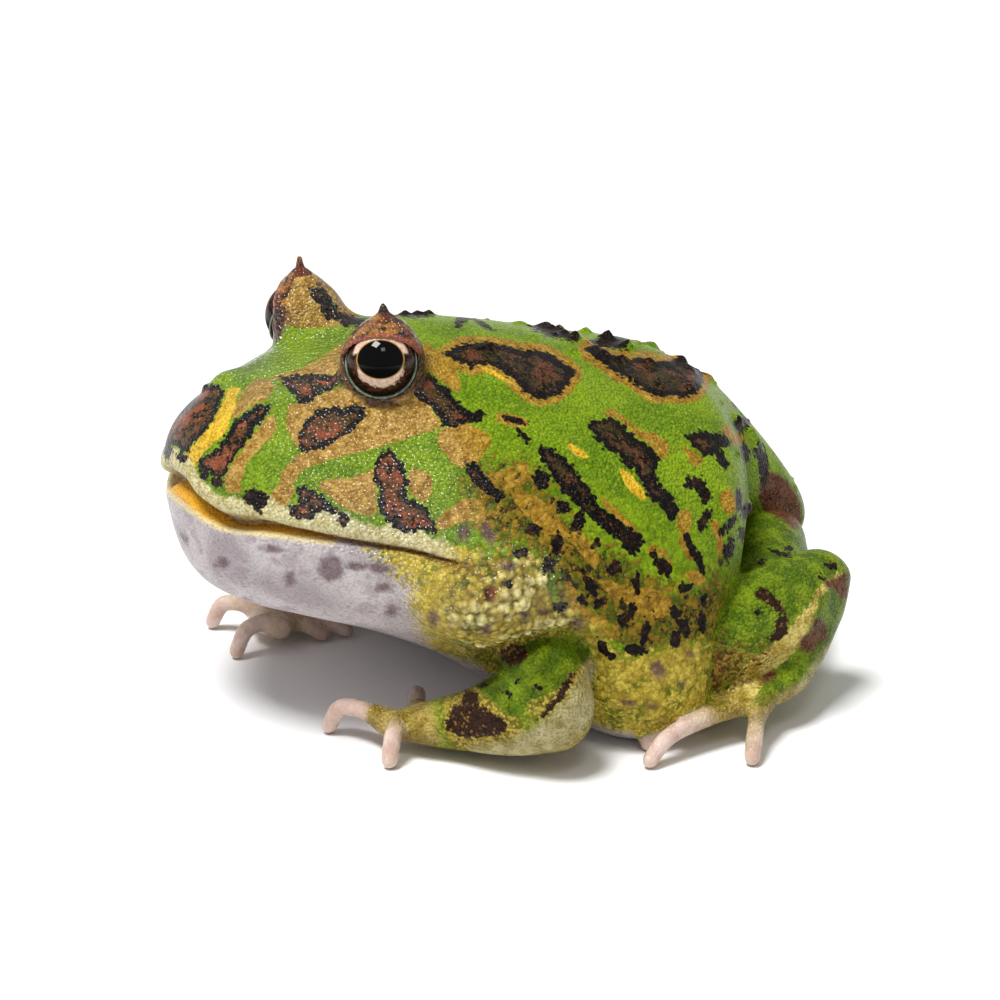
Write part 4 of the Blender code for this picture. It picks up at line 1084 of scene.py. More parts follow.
def skin_marks(points, normals):
    """The colour zones and marks of the skin at each point, by name.

    Outlines and dark marks are distances in millimetres, and the other marks are shares from 0 to 1.
    """
    x, y, z = points.T
    back, _, _ = camera_axes()
    facing = normals @ back
    far = x < 0
    mirror = points * np.where(far, -1, 1)[:, None] ** np.array((1, 0, 0))
    mirror[:, 0] -= np.where(far, FAR_SHIFT * soft_step(normals[:, 2], 0.3, 0.8) * soft_step(y, -18, -4), 0)
    seen, straight = photo_places(mirror), photo_places(points)
    arm, hand, leg, foot, digit = part_distances(points)
    limb = np.minimum(np.minimum(arm, hand), np.minimum(leg, foot))
    on_limb = np.minimum(limb, digit) < 0.35
    on_hand, on_foot = (hand < OWN_SKIN) | (arm < OWN_SKIN), (leg < OWN_SKIN) | (foot < OWN_SKIN)
    hidden = 4 * soft_step(-facing, 0.0, 0.35) * np.where(far, 0, 1)
    on_body = np.where(on_limb, OFF, 0.0) + hidden
    on_arm = np.where(on_hand, 0.0, OFF) + hidden
    on_leg = np.where(on_foot & (arm > 0.5), 0.0, OFF) + hidden
    far_seen = far & (facing > 0)
    far_only = np.where(far_seen, 0.0, OFF)
    own = on_body + np.where(far_seen, OFF, 0.0)
    marks = {}

    # Marks drawn over the photograph
    over_snout = np.where((x < 6) & (y < -30) & (facing > 0), 0.0, OFF)
    marks["blotch"] = np.minimum.reduce([
        mark_distance(seen, BLOTCHES.values()) + own,
        mark_distance(straight, [FAR_BLOTCHES["far_horn"]]) + far_only,
        mark_distance(straight, [FAR_BLOTCHES["snout_far"]]) + over_snout,
    ])
    marks["dark"] = np.minimum.reduce([
        mark_distance(seen, DARK_PATCHES.values(), DARK_SPOTS) + own,
        mark_distance(straight, DARK_PATCHES.values(), DARK_SPOTS) + far_only,
        mark_distance(seen, (), ARM_SPOTS) + on_arm,
        mark_distance(seen, (), LEG_SPOTS) + on_leg,
    ])
    marks["speckled"] = np.minimum(
        mark_distance(seen, ARM_DARK.values()) + on_arm, mark_distance(seen, LEG_DARK.values()) + on_leg
    )
    edged = mark_distance(seen, [BLOTCHES[name] for name in LIGHT_EDGED]) + own
    marks["tan"] = np.minimum(mark_distance(seen, TAN_PATCHES.values()) + own, edged - LIGHT_EDGE)
    marks["yellow"] = np.minimum(
        mark_distance(seen, YELLOW_PATCHES.values()) + own,
        mark_distance(straight, [YELLOW_PATCHES["stripe"]]) + far_only,
    )
    marks["leg_yellow"] = mark_distance(seen, [LEG_YELLOW]) + on_leg
    marks["soft"] = mark_distance(seen, (), SOFT_SPOTS) + on_body
    marks["rusty"] = mark_distance(seen, (), RUSTY_SPOTS) + on_body
    # The rump behind the flank: brown, partly painted shade where the flank hides it
    rump = mark_distance(straight, [RUMP_BROWN_AND_SHADE]) + np.where((facing > 0) & (y > 25), 0, OFF)
    marks["brown"] = np.minimum(mark_distance(seen, FOOT_BROWN.values()) + on_leg, rump)
    # Brown under the knee, part of it painted shade of the gap between knee and foot
    marks["knee"] = mark_distance(seen, [KNEE_BROWN_AND_SHADE]) + on_leg
    marks["face"] = soft_step(-y, 14, 19)
    marks["olive"] = mark_distance(seen, [FLANK_OLIVE]) + on_body
    marks["arm_green"] = np.where(on_hand, mark_distance(seen, [ARM_GREEN]), OFF)
    edges = np.minimum(mark_distance(seen, [ARM_PALE]) + on_arm, mark_distance(seen, [FOOT_PALE]) + on_leg)
    marks["pale_edge"] = soft_step(-edges, -0.8, 0.8)

    # Throat, chest, belly and the yellow low on the sides
    line = mouth_height(x, y)
    below = np.where(y < MOUTH_CORNER + 6, line - z, 0)
    jaw = soft_step(-mark_distance(seen, [THROAT]) - on_body, -1.0, 6.0) * soft_step(below, -0.3, 0.2)
    chest = soft_step(12 - z - 0.35 * (10 + y), -2, 3) * soft_step(-y, 2, 14) * soft_step(-facing, -0.3, 0.1)
    under = soft_step(-normals[:, 2], 0.5, 0.9) * soft_step(-z, -14, -6)
    marks["throat"] = np.maximum.reduce([jaw, chest, under]) * np.where(on_limb, 0.0, 1.0)
    low_side = np.minimum(0.6 * (z - 12), np.where(below > 0.1, -3.0, 9.0)) + np.where(on_limb, OFF, 0)
    marks["pale_yellow"] = np.minimum(mark_distance(seen, [FLANK_YELLOW]) + on_body, low_side)

    # Lips and the line of the mouth
    rise = z - line
    lip_height = 2.9 + 0.5 * np.sin(y * 0.9) + 0.3 * np.sin(y * 2.3 + 1)
    on_lip = (y < MOUTH_CORNER + 3) & (rise > -0.2) & (on_body < 5)
    marks["lip"] = np.where(on_lip, soft_step(lip_height - rise, -0.9, 0.9), 0) * soft_step(-y, 19.5, 24)
    marks["mouth"] = soft_step(-np.abs(rise + 0.05), -0.6, -0.25) * soft_step(-y, 19, 22.5)
    amber = -mark_distance(seen, [LOWER_LIP_AMBER]) - on_body
    marks["lower_lip"] = soft_step(amber, -2.0, 0.6) * soft_step(-rise, -0.2, 0.2)

    # Skin of limbs, hands and feet, paler towards the tips
    from_hand, from_foot = (np.hypot(np.abs(x) - end[0], y - end[1]) for end in (HAND[-1], FOOT[-1]))
    paler = np.where(y < -8, soft_step(from_hand, 3.0, 7.5), soft_step(from_foot, 5, 13))
    hand_skin, on_digit = soft_step(-hand, -0.6, 0.0), soft_step(-digit, -0.6, 0.0)
    foot_skin = soft_step(-foot, -0.8, -0.1) * soft_step(-z, -7.5, -5)
    marks["pink"] = np.maximum(on_digit * paler, 0.8 * hand_skin * far)
    marks["foot_skin"] = np.maximum.reduce([hand_skin, foot_skin, on_digit])
    marks["arm_skin"] = soft_step(-np.minimum(arm, hand), -0.5, 0.1)
    marks["limb"] = soft_step(-np.minimum(np.minimum(leg, foot), arm), -0.5, 0.1)

    # Lids and horns
    rust, marks["dusk"], marks["lid_edge"], tan_inside = lid_marks(points)
    far_rust = soft_step(-mark_distance(straight, [FAR_LID_RUST]) - far_only, -0.4, 0.3)
    marks["rust"] = np.maximum(rust, far_rust)
    marks["tan"] = np.minimum(marks["tan"], 2 * tan_inside)

    # Coarser grain of fold and flank, and where the skin is wettest
    fold = soft_step(-mark_distance(seen, [SHOULDER_ZONE]) - on_body, -1.5, 2.5)
    flank = soft_step(-mark_distance(seen, [FLANK_GRAIN]) - on_body, -2, 3)
    marks["grain"] = np.maximum(fold, 0.6 * flank)
    head = soft_step(-y, 12, 24) * soft_step(z, 20, 30) * (1 - 0.85 * soft_step(-y, 35, 42))
    marks["wet"] = np.maximum.reduce([head, 0.8 * fold, 0.6 * marks["pink"], 0.5 * marks["foot_skin"]])
    return marks


def cell_bumps(points, size, seed):
    """Rounded granules, 1 at the middle of each and 0 where they meet, with a random share for each."""
    grid = np.floor(points / size).astype(int)
    nearest = np.full(len(points), 9.0)
    second = np.full(len(points), 9.0)
    share = np.zeros(len(points))
    for step in product((-1, 0, 1), repeat=3):
        cell = grid + step
        mixed = cell @ np.array(CELL_FACTORS) + seed * 7919
        jitter = [((mixed * k + 12345 * k) % 1009) / 1009 for k in (31, 57, 89)]
        centre = (cell + 0.15 + 0.7 * np.stack(jitter, axis=1)) * size
        away = np.linalg.norm(points - centre, axis=1) / size
        share = np.where(away < nearest, jitter[0], share)
        second = np.minimum(second, np.maximum(nearest, away))
        nearest = np.minimum(nearest, away)
    return np.clip((second - nearest) * 2.2, 0, 1) ** 0.7, share


def roughened(points, normals, marks):
    """The skin with its larger granules and its warts raised."""
    grain = marks["grain"]
    coarse = soft_step(grain, 0.62, 1.0)
    granules, _ = cell_bumps(points, GRAIN_SIZE, 3)
    knobs, share = cell_bumps(points, FOLD_GRAIN_SIZE, 5)
    large = soft_step(share, 0.35, 0.75)
    height = GRAIN_HEIGHT * grain * (granules - 0.4)
    height = height + FOLD_HEIGHT * coarse * (knobs - 0.4) * (0.25 + large)
    # Painted shade: how deep each point lies in the hollows between granules and knobs, which darkens the
    # skin's colour
    marks["hollow"] = np.clip(grain * (1 - granules) * 0.7 + coarse * (1 - knobs) ** 2, 0, 1)
    marks["knob"] = coarse * soft_step(knobs, 0.3, 0.8) * large
    px, py, _ = photo_places(points)
    seen = normals @ camera_axes()[0] > -0.15
    for wx, wy, radius, rise in WARTS:
        away = np.where(seen, np.hypot(px - wx, py - wy), 1e6)
        middle = points[np.argmin(away)]
        for side in (1, -1):
            centre = middle * (side, 1, 1)
            near = np.linalg.norm(points - centre, axis=1) / radius
            height += rise * np.exp(-(near**2) * 1.6) * (near < 3)
    random = np.random.default_rng(SMALL_WARTS_SEED)
    upper = (normals[:, 2] > -0.1) & (points[:, 1] > -12) & (marks["limb"] < 0.1) & (points[:, 2] > 12)
    for index in random.choice(np.flatnonzero(upper), SMALL_WARTS, replace=False):
        radius = random.uniform(0.35, 0.6)
        near = np.linalg.norm(points - points[index], axis=1) / radius
        height += random.uniform(0.12, 0.3) * np.exp(-(near**2) * 1.6) * (near < 3)
    return points + normals * height[:, None]


def linear(*colour):
    """A screen colour of 0 to 255 as the light values that shaders take."""
    share = np.array(colour) / 255
    return tuple(np.where(share < 0.04045, share / 12.92, ((share + 0.055) / 1.055) ** 2.4))


class Look:
    """Builds a material's node graph."""

    def __init__(self, name):
        self.material = bpy.data.materials.new(name)
        self.material.use_nodes = True
        self.nodes, self.links = self.material.node_tree.nodes, self.material.node_tree.links
        self.shader = self.nodes["Principled BSDF"]
        self.place = self.nodes.new("ShaderNodeTexCoord").outputs["Object"]

    def put(self, socket, value):
        if isinstance(value, bpy.types.NodeSocket):
            self.links.new(value, socket)
        elif isinstance(value, (tuple, list)) and socket.type == "RGBA":
            socket.default_value = (*value[:3], 1)
        else:
            socket.default_value = value

    def attribute(self, name):
        node = self.nodes.new("ShaderNodeAttribute")
        node.attribute_name = name
        return node.outputs["Fac"]

    def math(self, operation, a, b=0.0):
        node = self.nodes.new("ShaderNodeMath")
        node.operation = operation
        self.put(node.inputs[0], a)
        self.put(node.inputs[1], b)
        return node.outputs[0]

    def add(self, a, b):
        return self.math("ADD", a, b)

    def times(self, a, b):
        return self.math("MULTIPLY", a, b)

    def less(self, a, b):
        return self.math("SUBTRACT", a, b)

    def most(self, a, b):
        return self.math("MAXIMUM", a, b)

    def surface(self, **values):
        """Fills the shader's inputs, with _ for each space in their names, and gives the material."""
        for name, value in values.items():
            self.put(self.shader.inputs[name.replace("_", " ")], value)
        return self.material

    def step(self, value, low, high):
        """0 at low and 1 at high, the other way round where low is the greater."""
        node = self.nodes.new("ShaderNodeMapRange")
        node.interpolation_type = "SMOOTHSTEP"
        self.put(node.inputs["Value"], value)
        first, last = (0.0, 1.0) if low < high else (1.0, 0.0)
        node.inputs["From Min"].default_value = min(low, high)
        node.inputs["From Max"].default_value = max(low, high)
        node.inputs["To Min"].default_value = first
        node.inputs["To Max"].default_value = last
        return node.outputs["Result"]

    def mix(self, share, a, b, blend="MIX"):
        node = self.nodes.new("ShaderNodeMix")
        node.data_type, node.blend_type = "RGBA", blend
        self.put(node.inputs["Factor"], share)
        for socket, value in zip([i for i in node.inputs if i.type == "RGBA"], (a, b)):
            self.put(socket, value)
        return next(o for o in node.outputs if o.type == "RGBA")

    def pair(self, pattern, low, high, first, last):
        """One screen colour where the pattern is low and another where it is high."""
        return self.mix(self.step(pattern, low, high), linear(*first), linear(*last))

    def blend(self, share, a, b):
        """Two numbers mixed."""
        node = self.nodes.new("ShaderNodeMix")
        node.data_type = "FLOAT"
        self.put(node.inputs[0], share)
        self.put(node.inputs[2], a)
        self.put(node.inputs[3], b)
        return node.outputs[0]

    def noise(self, scale, detail=3.0, roughness=0.55):
        node = self.nodes.new("ShaderNodeTexNoise")
        self.links.new(self.place, node.inputs["Vector"])
        node.inputs["Scale"].default_value = scale
        node.inputs["Detail"].default_value = detail
        node.inputs["Roughness"].default_value = roughness
        return node.outputs["Fac"]

    def cells(self, scale):
        node = self.nodes.new("ShaderNodeTexVoronoi")
        self.links.new(self.place, node.inputs["Vector"])
        node.inputs["Scale"].default_value = scale
        return node

    def bump(self, height, distance, strength=1.0):
        node = self.nodes.new("ShaderNodeBump")
        node.inputs["Strength"].default_value = strength
        node.inputs["Distance"].default_value = distance
        self.links.new(height, node.inputs["Height"])
        return node.outputs["Normal"]


def skin_look():
    """Colours the zones and marks that come with the mesh. Noise and cells roughen their edges."""
    look = Look("skin")
    value = look.attribute
    ragged, broad, patchy = look.noise(900, 4, 0.65), look.noise(120, 3), look.noise(380, 3)
    small, large = look.cells(2500), look.cells(1150)
    grain = value("grain")
    random = look.nodes.new("ShaderNodeSeparateColor")
    look.links.new(look.mix(grain, small.outputs["Color"], large.outputs["Color"]), random.inputs[0])
    chance, other = random.outputs[0], random.outputs[1]
    away = look.blend(grain, small.outputs["Distance"], large.outputs["Distance"])
    wobble = look.times(look.less(ragged, 0.5), 1.1)
    edge = look.add(wobble, look.times(look.less(chance, 0.5), 0.45))
    scatter = look.less(other, 0.5)

    def zone(name, softness=0.14, spread=1.0):
        return look.step(look.add(value(name), look.times(edge, spread)), softness, -softness)

    def loose_zone(name, spread, softness):
        return look.step(look.add(value(name), look.times(scatter, spread)), softness, -softness)

    def over(share, colour):
        nonlocal skin
        skin = look.mix(share, skin, colour)

    # Greens of the back, the leg and the arm
    skin = look.pair(broad, 0.35, 0.65, (98, 132, 10), (131, 162, 20))
    over(look.times(look.step(chance, 0.5, 1.0), 0.6), linear(148, 174, 32))
    over(look.times(look.step(other, 0.6, 1.0), 0.4), linear(80, 104, 12))
    leg = look.pair(patchy, 0.4, 0.65, (76, 102, 12), (122, 144, 24))
    leg = look.mix(look.times(look.step(chance, 0.6, 1.0), 0.4), leg, linear(134, 154, 34))
    over(value("limb"), leg)
    upper_arm = look.pair(patchy, 0.4, 0.65, (66, 88, 6), (108, 126, 16))
    arm = look.pair(chance, 0.2, 0.8, (112, 92, 22), (184, 162, 70))
    arm = look.mix(look.step(look.add(value("arm_green"), wobble), 0.4, -0.4), arm, upper_arm)
    over(value("arm_skin"), arm)

    # The flank's granules, and the tan and yellow zones
    flank = look.pair(chance, 0.3, 0.7, (146, 112, 26), (84, 92, 16))
    flank = look.mix(look.step(other, 0.66, 0.72), flank, linear(64, 36, 16))
    flank = look.mix(look.step(look.noise(420, 3), 0.6, 0.66), flank, linear(40, 24, 14))
    over(look.times(loose_zone("olive", 4.5, 1.0), 0.95), flank)
    granular = look.most(look.step(value("olive"), -0.8, 0.8), look.step(chance, 0.2, 0.42))
    body_tan = look.pair(ragged, 0.35, 0.7, (142, 106, 22), (194, 154, 56))
    tan = look.mix(value("face"), body_tan, look.pair(ragged, 0.35, 0.7, (150, 110, 34), (204, 166, 86)))
    over(look.times(zone("tan", 0.12, 0.7), granular), tan)
    gold = look.mix(look.step(look.noise(260, 2), 0.5, 0.62), linear(172, 150, 48), linear(112, 116, 22))
    gold = look.mix(look.step(chance, 0.3, 0.9), gold, linear(214, 194, 80))
    over(loose_zone("pale_yellow", 3.0, 0.8), gold)
    over(look.times(value("knob"), look.step(look.noise(170, 2), 0.3, 0.5)), linear(244, 232, 160))
    over(zone("yellow", 0.12, 0.5), look.pair(ragged, 0.3, 0.7, (206, 160, 20), (240, 200, 62)))
    over(zone("leg_yellow", 0.25, 1.0), look.pair(patchy, 0.35, 0.6, (166, 140, 46), (222, 204, 116)))
    # Brown patches of the foot, and the rump behind the flank, whose brown is partly painted shade
    brown = look.pair(ragged, 0.3, 0.7, (78, 44, 26), (128, 82, 50))
    over(look.step(look.add(value("brown"), wobble), 0.4, -0.4), brown)
    # Yellow-brown under the knee, partly painted shade of the gap between knee and foot
    over(loose_zone("knee", 4.0, 1.5), look.pair(chance, 0.2, 0.9, (84, 56, 18), (148, 114, 46)))

    # Lips, throat and belly
    lip = look.pair(ragged, 0.3, 0.7, (184, 170, 104), (222, 214, 168))
    over(look.step(look.add(value("lip"), wobble), 0.15, 0.85), lip)
    pale = look.pair(broad, 0.3, 0.7, (168, 156, 160), (216, 208, 208))
    pale = look.mix(look.times(look.step(look.noise(240, 3), 0.54, 0.66), 0.5), pale, linear(140, 118, 130))
    throat = look.add(value("throat"), look.times(look.add(wobble, scatter), 0.5))
    over(look.step(throat, 0.25, 0.7), pale)
    lower = look.pair(value("lower_lip"), 0.35, 0.8, (230, 212, 158), (230, 168, 44))
    over(look.step(value("lower_lip"), 0.05, 0.35), lower)
    over(value("pale_edge"), look.pair(patchy, 0.3, 0.7, (148, 136, 78), (198, 188, 142)))
    soft = look.step(look.add(value("soft"), look.times(wobble, 1.6)), 0.5, -0.7)
    over(look.times(soft, 0.82), linear(98, 66, 76))
    over(look.step(value("rusty"), 0.4, -0.4), look.pair(ragged, 0.45, 0.55, (70, 28, 16), (138, 76, 32)))

    # Lids and horns, then the blotches with their black edges and the dark spots
    rust = look.pair(look.noise(420, 3), 0.42, 0.62, (104, 46, 14), (174, 116, 40))
    rust = look.mix(look.step(look.noise(700, 3), 0.5, 0.6), rust, linear(40, 20, 10))
    over(look.step(value("rust"), 0.2, 0.6), rust)
    mottle, lump = look.noise(420, 3), look.cells(1350).outputs["Distance"]
    face = look.pair(mottle, 0.42, 0.6, (86, 60, 24), (148, 78, 48))
    inside = look.mix(value("face"), look.pair(mottle, 0.44, 0.64, (60, 52, 22), (106, 60, 38)), face)
    lumps = look.add(look.noise(500, 2), look.times(chance, 0.3))
    lumps = look.add(lumps, look.blend(value("face"), 0.06, 0.0))
    inside = look.mix(look.step(lumps, 0.72, 0.82), inside, linear(20, 13, 10))
    lumpy = look.times(look.less(lump, 0.4), 0.9)
    blotch = look.add(value("blotch"), look.add(look.times(wobble, 0.4), lumpy))
    rim = look.add(blotch, look.times(look.less(look.noise(230, 2), 0.5), 1.8))
    rim = look.add(rim, look.blend(value("face"), 0.08, -0.1))
    black = look.pair(ragged, 0.5, 0.75, (15, 10, 8), (46, 30, 20))
    over(look.step(blotch, 0.12, -0.12), look.mix(look.step(rim, -1.1, -0.7), inside, black))
    dark = look.add(look.add(value("dark"), look.times(wobble, 0.8)), look.add(lumpy, -0.25))
    over(look.step(dark, 0.12, -0.12), look.pair(ragged, 0.5, 0.75, (20, 13, 10), (78, 46, 26)))
    specks = look.mix(look.step(chance, 0.84, 0.92), linear(50, 29, 17), linear(132, 94, 40))
    over(zone("speckled", 0.12, 0.8), look.mix(look.step(ragged, 0.5, 0.7), specks, linear(24, 14, 10)))
    over(look.times(value("dusk"), 0.9), look.pair(ragged, 0.4, 0.7, (52, 24, 16), (118, 62, 48)))
    over(look.times(value("lid_edge"), 0.8), linear(176, 92, 66))

    # Hands, feet and the mouth's line, then painted shade: the gaps between granules and the hollows of the
    # coarse grain darkened
    over(look.times(value("foot_skin"), 0.9), look.pair(patchy, 0.4, 0.6, (140, 118, 34), (184, 158, 84)))
    over(value("pink"), look.pair(patchy, 0.3, 0.7, (198, 166, 150), (222, 200, 186)))
    over(look.times(value("mouth"), 0.7), linear(118, 68, 30))
    # Painted shade: the skin's colour darker in the gaps between granules, less so on smooth pink and throat
    # skin
    gap_shade = look.pair(away, 0.8, 0.35, (164, 154, 140), (255, 255, 255))
    smooth_skin = look.most(value("pink"), look.times(value("throat"), 0.4))
    gap_shade_share = look.times(look.blend(grain, 0.3, 0.7), look.less(1.0, smooth_skin))
    skin = look.mix(gap_shade_share, skin, gap_shade, "MULTIPLY")
    # Painted shade in the hollows of the grain
    skin = look.mix(look.times(value("hollow"), 0.6), skin, linear(150, 132, 90), "MULTIPLY")

    # Dry and wet skin, domed granules, and a film of water with its own soft bumps that catch the light
    wet = value("wet")
    dome = look.less(1.0, look.times(away, away))
    dome = look.times(dome, look.blend(smooth_skin, 1.0, 0.2))
    drop = look.cells(1250).outputs["Distance"]
    film = look.add(look.less(1.0, look.times(drop, drop)), look.times(look.less(broad, 0.5), 0.5))
    return look.surface(
        Base_Color=skin,
        Roughness=look.add(look.blend(wet, 0.28, 0.21), look.times(look.less(ragged, 0.5), 0.2)),
        Specular_IOR_Level=look.blend(wet, 0.06, 0.1),
        Coat_Weight=look.blend(wet, 0.1, 1.0),
        Coat_Roughness=0.12,
        Coat_Normal=look.bump(film, 0.0006),
        Subsurface_Weight=0.06,
        Subsurface_Radius=(1.0, 0.5, 0.3),
        Subsurface_Scale=0.0008,
        Normal=look.bump(look.add(dome, look.times(look.noise(3800, 2), 0.2)), 0.0003),
    )


def eye_look(side):
    """An eyeball: dark oval pupil, gold ring, pale pink iris above and below, dark brown at its sides."""
    look = Look("eye")
    iris_place = look.nodes.new("ShaderNodeAttribute")
    iris_place.attribute_name = "iris"
    parts = look.nodes.new("ShaderNodeSeparateXYZ")
    look.links.new(iris_place.outputs["Vector"], parts.inputs[0])
    across, up, out = parts.outputs
    veins = look.noise(1500, 4, 0.7)
    ragged = look.less(veins, 0.5)
    wide, tall = look.times(across, 1 / PUPIL[0]), look.times(up, 1 / PUPIL[1])
    pupil = look.math("SQRT", look.add(look.times(wide, wide), look.times(tall, tall)))
    pale = look.mix(look.step(veins, 0.35, 0.7), linear(206, 170, 148), linear(238, 214, 196))
    dark = look.mix(look.step(veins, 0.45, 0.62), linear(30, 20, 14), linear(84, 52, 32))
    above = look.add(up, look.times(ragged, 0.8))
    limit = PALE_IRIS_REACH[side]
    share = look.times(look.step(above, 0.5, 1.0), look.step(out, limit, limit + 0.4))
    smile = look.add(look.add(pupil, look.times(ragged, 0.5)), look.times(up, 0.14))
    share = look.most(share, look.times(look.step(smile, 1.04, 0.95), look.step(above, -0.7, -1.3)))
    iris = look.mix(share, dark, pale)
    iris = look.mix(look.step(pupil, 1.1, 1.06), iris, linear(176, 136, 70))
    iris = look.mix(look.step(pupil, 1.05, 1.01), iris, linear(3, 2, 2))
    rim = look.step(look.add(look.times(across, across), look.times(up, up)), 15.5, 18.5)
    rim = look.most(rim, look.step(out, 1.6, 0.6))
    iris = look.mix(look.times(rim, 0.9), iris, linear(24, 17, 14))
    return look.surface(
        Base_Color=iris,
        Roughness=look.step(veins, -2.0, 6.0),
        Specular_IOR_Level=0.0,
        Coat_Weight=look.blend(look.step(up, -1.5, -0.6), 0.06, 0.45),
        Coat_Roughness=0.01,
        Normal=look.bump(veins, 0.00002, 0.3),
    )


def rim_look():
    look = Look("lid_rim")
    streaks = look.noise(1300, 3)
    return look.surface(
        Base_Color=look.pair(streaks, 0.35, 0.7, (74, 88, 74), (128, 146, 124)),
        Roughness=look.step(streaks, -0.6, 3.0),
        Coat_Weight=0.6,
        Coat_Roughness=0.08,
        Normal=look.bump(streaks, 0.00005, 0.5),
    )


def floor_look():
    look = Look("floor")
    grain = look.noise(30, 3)
    return look.surface(
        Base_Color=look.mix(grain, (0.93, 0.93, 0.93), (0.97, 0.97, 0.97)),
        Roughness=look.step(grain, -4.0, 1.5),
        Normal=look.bump(grain, 0.00001, 0.1),
    )


def put_eye(side, word, look):
    """An eyeball whose rows of faces run round the line of sight."""
    rows, segments = 48, 96
    sideways, up, ahead = gaze_axes(side)
    turn = np.linspace(0, math.pi, rows + 1)[1:-1]
    around = np.linspace(0, 2 * math.pi, segments, endpoint=False)
    local = [(0, 0, 1)]
    for t in turn:
        local += [(math.sin(t) * math.cos(a), math.sin(t) * math.sin(a), math.cos(t)) for a in around]
    local = np.array(local + [(0, 0, -1)]) * EYE_RADIUS
    spots = local @ np.stack([sideways, up, ahead]) + EYE_CENTRE * (side, 1, 1)
    quads, caps, last = [], [], len(local) - 1
    for k in range(segments):
        n = (k + 1) % segments
        caps += [(0, 1 + k, 1 + n), (last, last - segments + n, last - segments + k)]
        for r in range(rows - 2):
            a, b = 1 + r * segments + k, 1 + r * segments + n
            quads.append((a, a + segments, b + segments, b))
    eye = mesh_object("eyeball_" + word, spots, np.array(quads), np.array(caps))
    places = eye.data.attributes.new("iris", "FLOAT_VECTOR", "POINT")
    places.data.foreach_set("vector", local.astype(np.float32).ravel())
    eye.data.materials.append(look)
    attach(eye, "root")
    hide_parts("eye_" + word)
    return eye


def put_lid_rim(side, word, look):
    """The smooth rim of the lower lid, round the lower part of the eyeball."""
    sideways, up, ahead = gaze_axes(side)
    ends = math.radians(LID_RIM_SPAN / 2)
    turns = np.linspace(-ends, ends, 97)
    ring = np.linspace(0, 2 * math.pi, 16, endpoint=False)
    spots = []
    for turn in turns:
        outwards = math.sin(turn) * sideways - math.cos(turn) * up
        thick = LID_RIM_THICKNESS * (0.35 + 0.65 * math.cos(turn / ends * math.pi / 2) ** 0.5)
        middle = EYE_CENTRE * (side, 1, 1) + outwards * LID_RIM_RADIUS
        middle = middle + ahead * LID_RIM_FORWARD - up * LID_RIM_DROP
        spots += [middle + thick * (math.cos(a) * outwards + 1.3 * math.sin(a) * ahead) for a in ring]
    count = len(ring)
    quads = [
        (r * count + k, r * count + (k + 1) % count, (r + 1) * count + (k + 1) % count, (r + 1) * count + k)
        for r in range(len(turns) - 1) for k in range(count)
    ]
    caps = []
    for row, order in ((0, -1), (len(turns) - 1, 1)):
        middle = len(spots)
        spots.append(np.mean(spots[row * count:(row + 1) * count], axis=0))
        for k in range(count):
            pair = (row * count + k, row * count + (k + 1) % count)[::order]
            caps.append((*pair, middle))
    rim = mesh_object("lid_rim_" + word, np.array(spots), np.array(quads), np.array(caps))
    rim.data.materials.append(look)
    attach(rim, "root")
    return rim


def stand(name, data, place, back):
    """A camera or light at a place in metres, which looks the way opposite to back."""
    obj = bpy.data.objects.new(name, data)
    turned = Vector(back).to_track_quat("Z", "Y").to_matrix().to_4x4()
    obj.matrix_world = Matrix.Translation(Vector(place)) @ turned
    bpy.context.scene.collection.objects.link(obj)
    return obj


def put_camera():
    back, _, _ = camera_axes()
    data = bpy.data.cameras.new("camera")
    data.lens, data.sensor_width = LENS, SENSOR
    data.clip_start, data.clip_end = 0.05, 5.0
    place = (AIM + back * CAMERA_DISTANCE + SHIFT) * MM
    bpy.context.scene.camera = stand("camera", data, place, back)


def put_light(name, place, size, watts):
    data = bpy.data.lights.new(name, "AREA")
    data.size, data.energy = size, watts
    stand(name, data, place, Vector(place) - Vector(LIGHTS_AIM))


def put_stage():
    """A pale floor, two soft lights from above and an even white surrounding."""
    mesh = bpy.data.meshes.new("floor")
    corners = [(x * FLOOR_REACH, y * FLOOR_REACH, 0) for x, y in ((-1, -1), (1, -1), (1, 1), (-1, 1))]
    mesh.from_pydata(corners, [], [(0, 1, 2, 3)])
    floor = bpy.data.objects.new("floor", mesh)
    bpy.context.scene.collection.objects.link(floor)
    floor.data.materials.append(floor_look())
    floor.location.z = -FLOOR_DROP
    floor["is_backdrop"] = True
    put_light("key", (0.3, -1.0, 2.8), 0.95, 92.0)
    put_light("fill", (1.6, -0.5, 2.5), 0.6, 8.0)
    world = bpy.data.worlds.new("world")
    world.use_nodes = True
    background = world.node_tree.nodes["Background"]
    background.inputs["Color"].default_value = (1, 1, 1, 1)
    background.inputs["Strength"].default_value = WORLD_STRENGTH
    bpy.context.scene.world = world


def horn_of(points, side):
    """Which places belong to the horn of one side."""
    tip = np.array(HORN_TIPS[side])
    away = np.hypot(points[:, 0] - tip[0], points[:, 1] - tip[1])
    return (points[:, 2] > tip[2] - HORN_HEIGHT) & (away < 9)


def parted(points, faces, side):
    """Which faces are a horn's, and the edges along which they leave the rest of the skin."""
    chosen = horn_of(points[faces].mean(axis=1), side)
    ends = np.concatenate([faces[chosen][:, [k, (k + 1) % 4]] for k in range(4)])
    known = {(int(a), int(b)) for a, b in ends}
    return chosen, [(a, b) for a, b in known if (b, a) not in known]


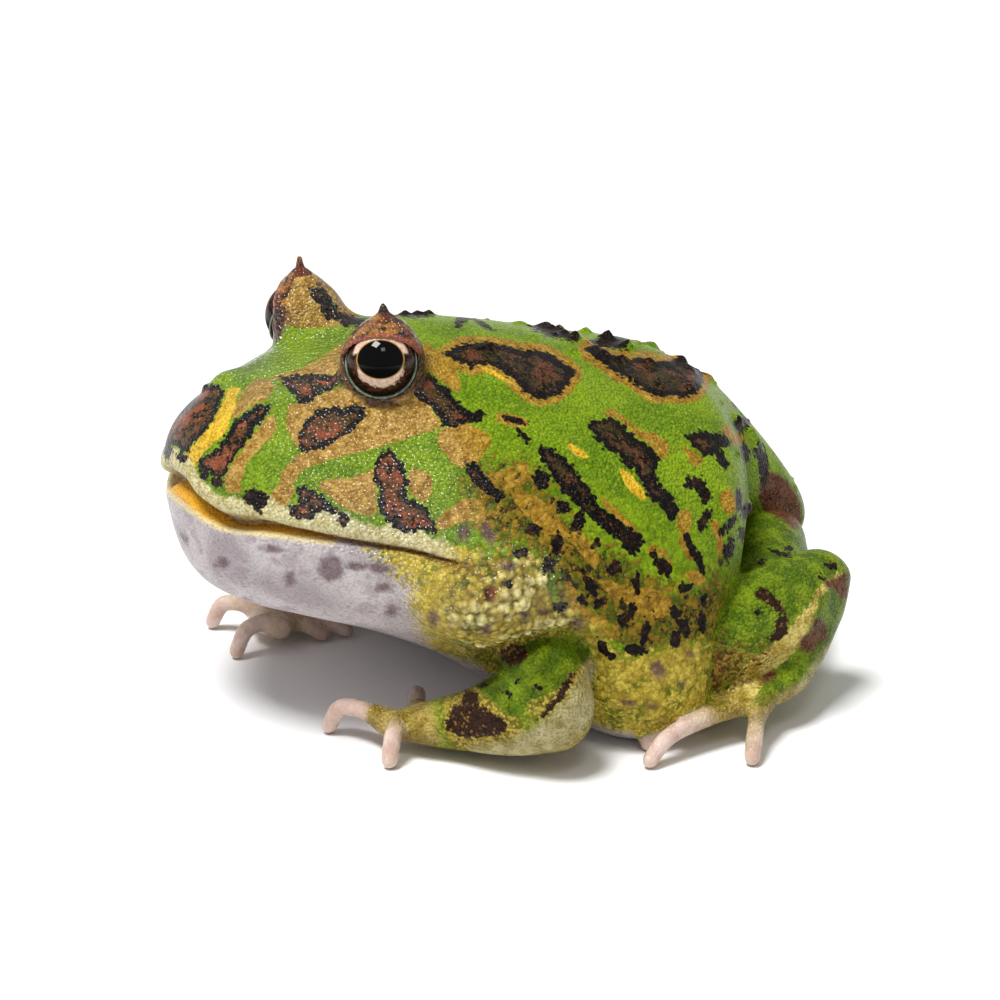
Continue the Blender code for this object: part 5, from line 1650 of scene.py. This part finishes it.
def skin_pieces(points, faces):
    """The skin and both horns as closed meshes that meet edge to edge, each hole closed by a fan."""
    (left, left_rim), (right, right_rim) = (parted(points, faces, side) for side in (1, -1))
    pieces = (
        ("skin", ~(left | right), [(b, a) for a, b in left_rim + right_rim]),
        ("horn_left_skin", left, left_rim),
        ("horn_right_skin", right, right_rim),
    )
    for name, chosen, rim in pieces:
        own = faces[chosen]
        used = np.unique(own)
        number = np.full(len(points), -1)
        number[used] = np.arange(len(used))
        spots, caps = points[used], []
        for side in (1, -1):
            edges = [(number[b], number[a]) for a, b in rim if (points[a, 0] > 0) == (side > 0)]
            if edges:
                ring = np.unique(np.array(edges))
                caps += [(a, b, len(spots)) for a, b in edges]
                spots = np.vstack([spots, spots[ring].mean(axis=0) - (0, 0, CAP_SINK)])
        yield name, spots, number[own], np.array(caps), used


def put_skin():
    """The skin and the horns, raised from one field and coloured by the marks that go with their points."""
    field = skin_field()
    points, faces = surface_of(field)
    slopes = np.gradient(field.value, STEP)
    for _ in range(2):
        value = read_field(field, field.value, points)
        normal = np.stack([read_field(field, slope, points) for slope in slopes], axis=1)
        normal /= np.maximum(np.linalg.norm(normal, axis=1), 0.2)[:, None]
        points = points - normal * np.clip(value, -0.3, 0.3)[:, None]
    normal /= np.maximum(np.linalg.norm(normal, axis=1), 1e-6)[:, None]
    marks = skin_marks(points, normal)
    points = roughened(points, normal, marks)
    look = skin_look()
    for name, spots, own, caps, used in skin_pieces(points, faces):
        piece = mesh_object(name, spots, own, caps)
        for mark, values in marks.items():
            layer = piece.data.attributes.new(mark, "FLOAT", "POINT")
            extra = np.full(len(spots) - len(used), values[used].mean())
            layer.data.foreach_set("value", np.concatenate([values[used], extra]).astype(np.float32))
        piece.data.materials.append(look)
        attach(piece, "root")
        if name == "skin":
            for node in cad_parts:
                if not node.startswith(("eye", "horn")):
                    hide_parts(node)
        else:
            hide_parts(name.removesuffix("_skin"))


put_skin()
lid_rim_look = rim_look()
for side, word in ((1, "left"), (-1, "right")):
    put_eye(side, word, eye_look(side))
    put_lid_rim(side, word, lid_rim_look)
bpy.context.scene.view_settings.view_transform = "Standard"
put_camera()
put_stage()

bounds = {"start": start_bounds, "end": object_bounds()}
{when: [list(corner) for corner in box] for when, box in bounds.items()}
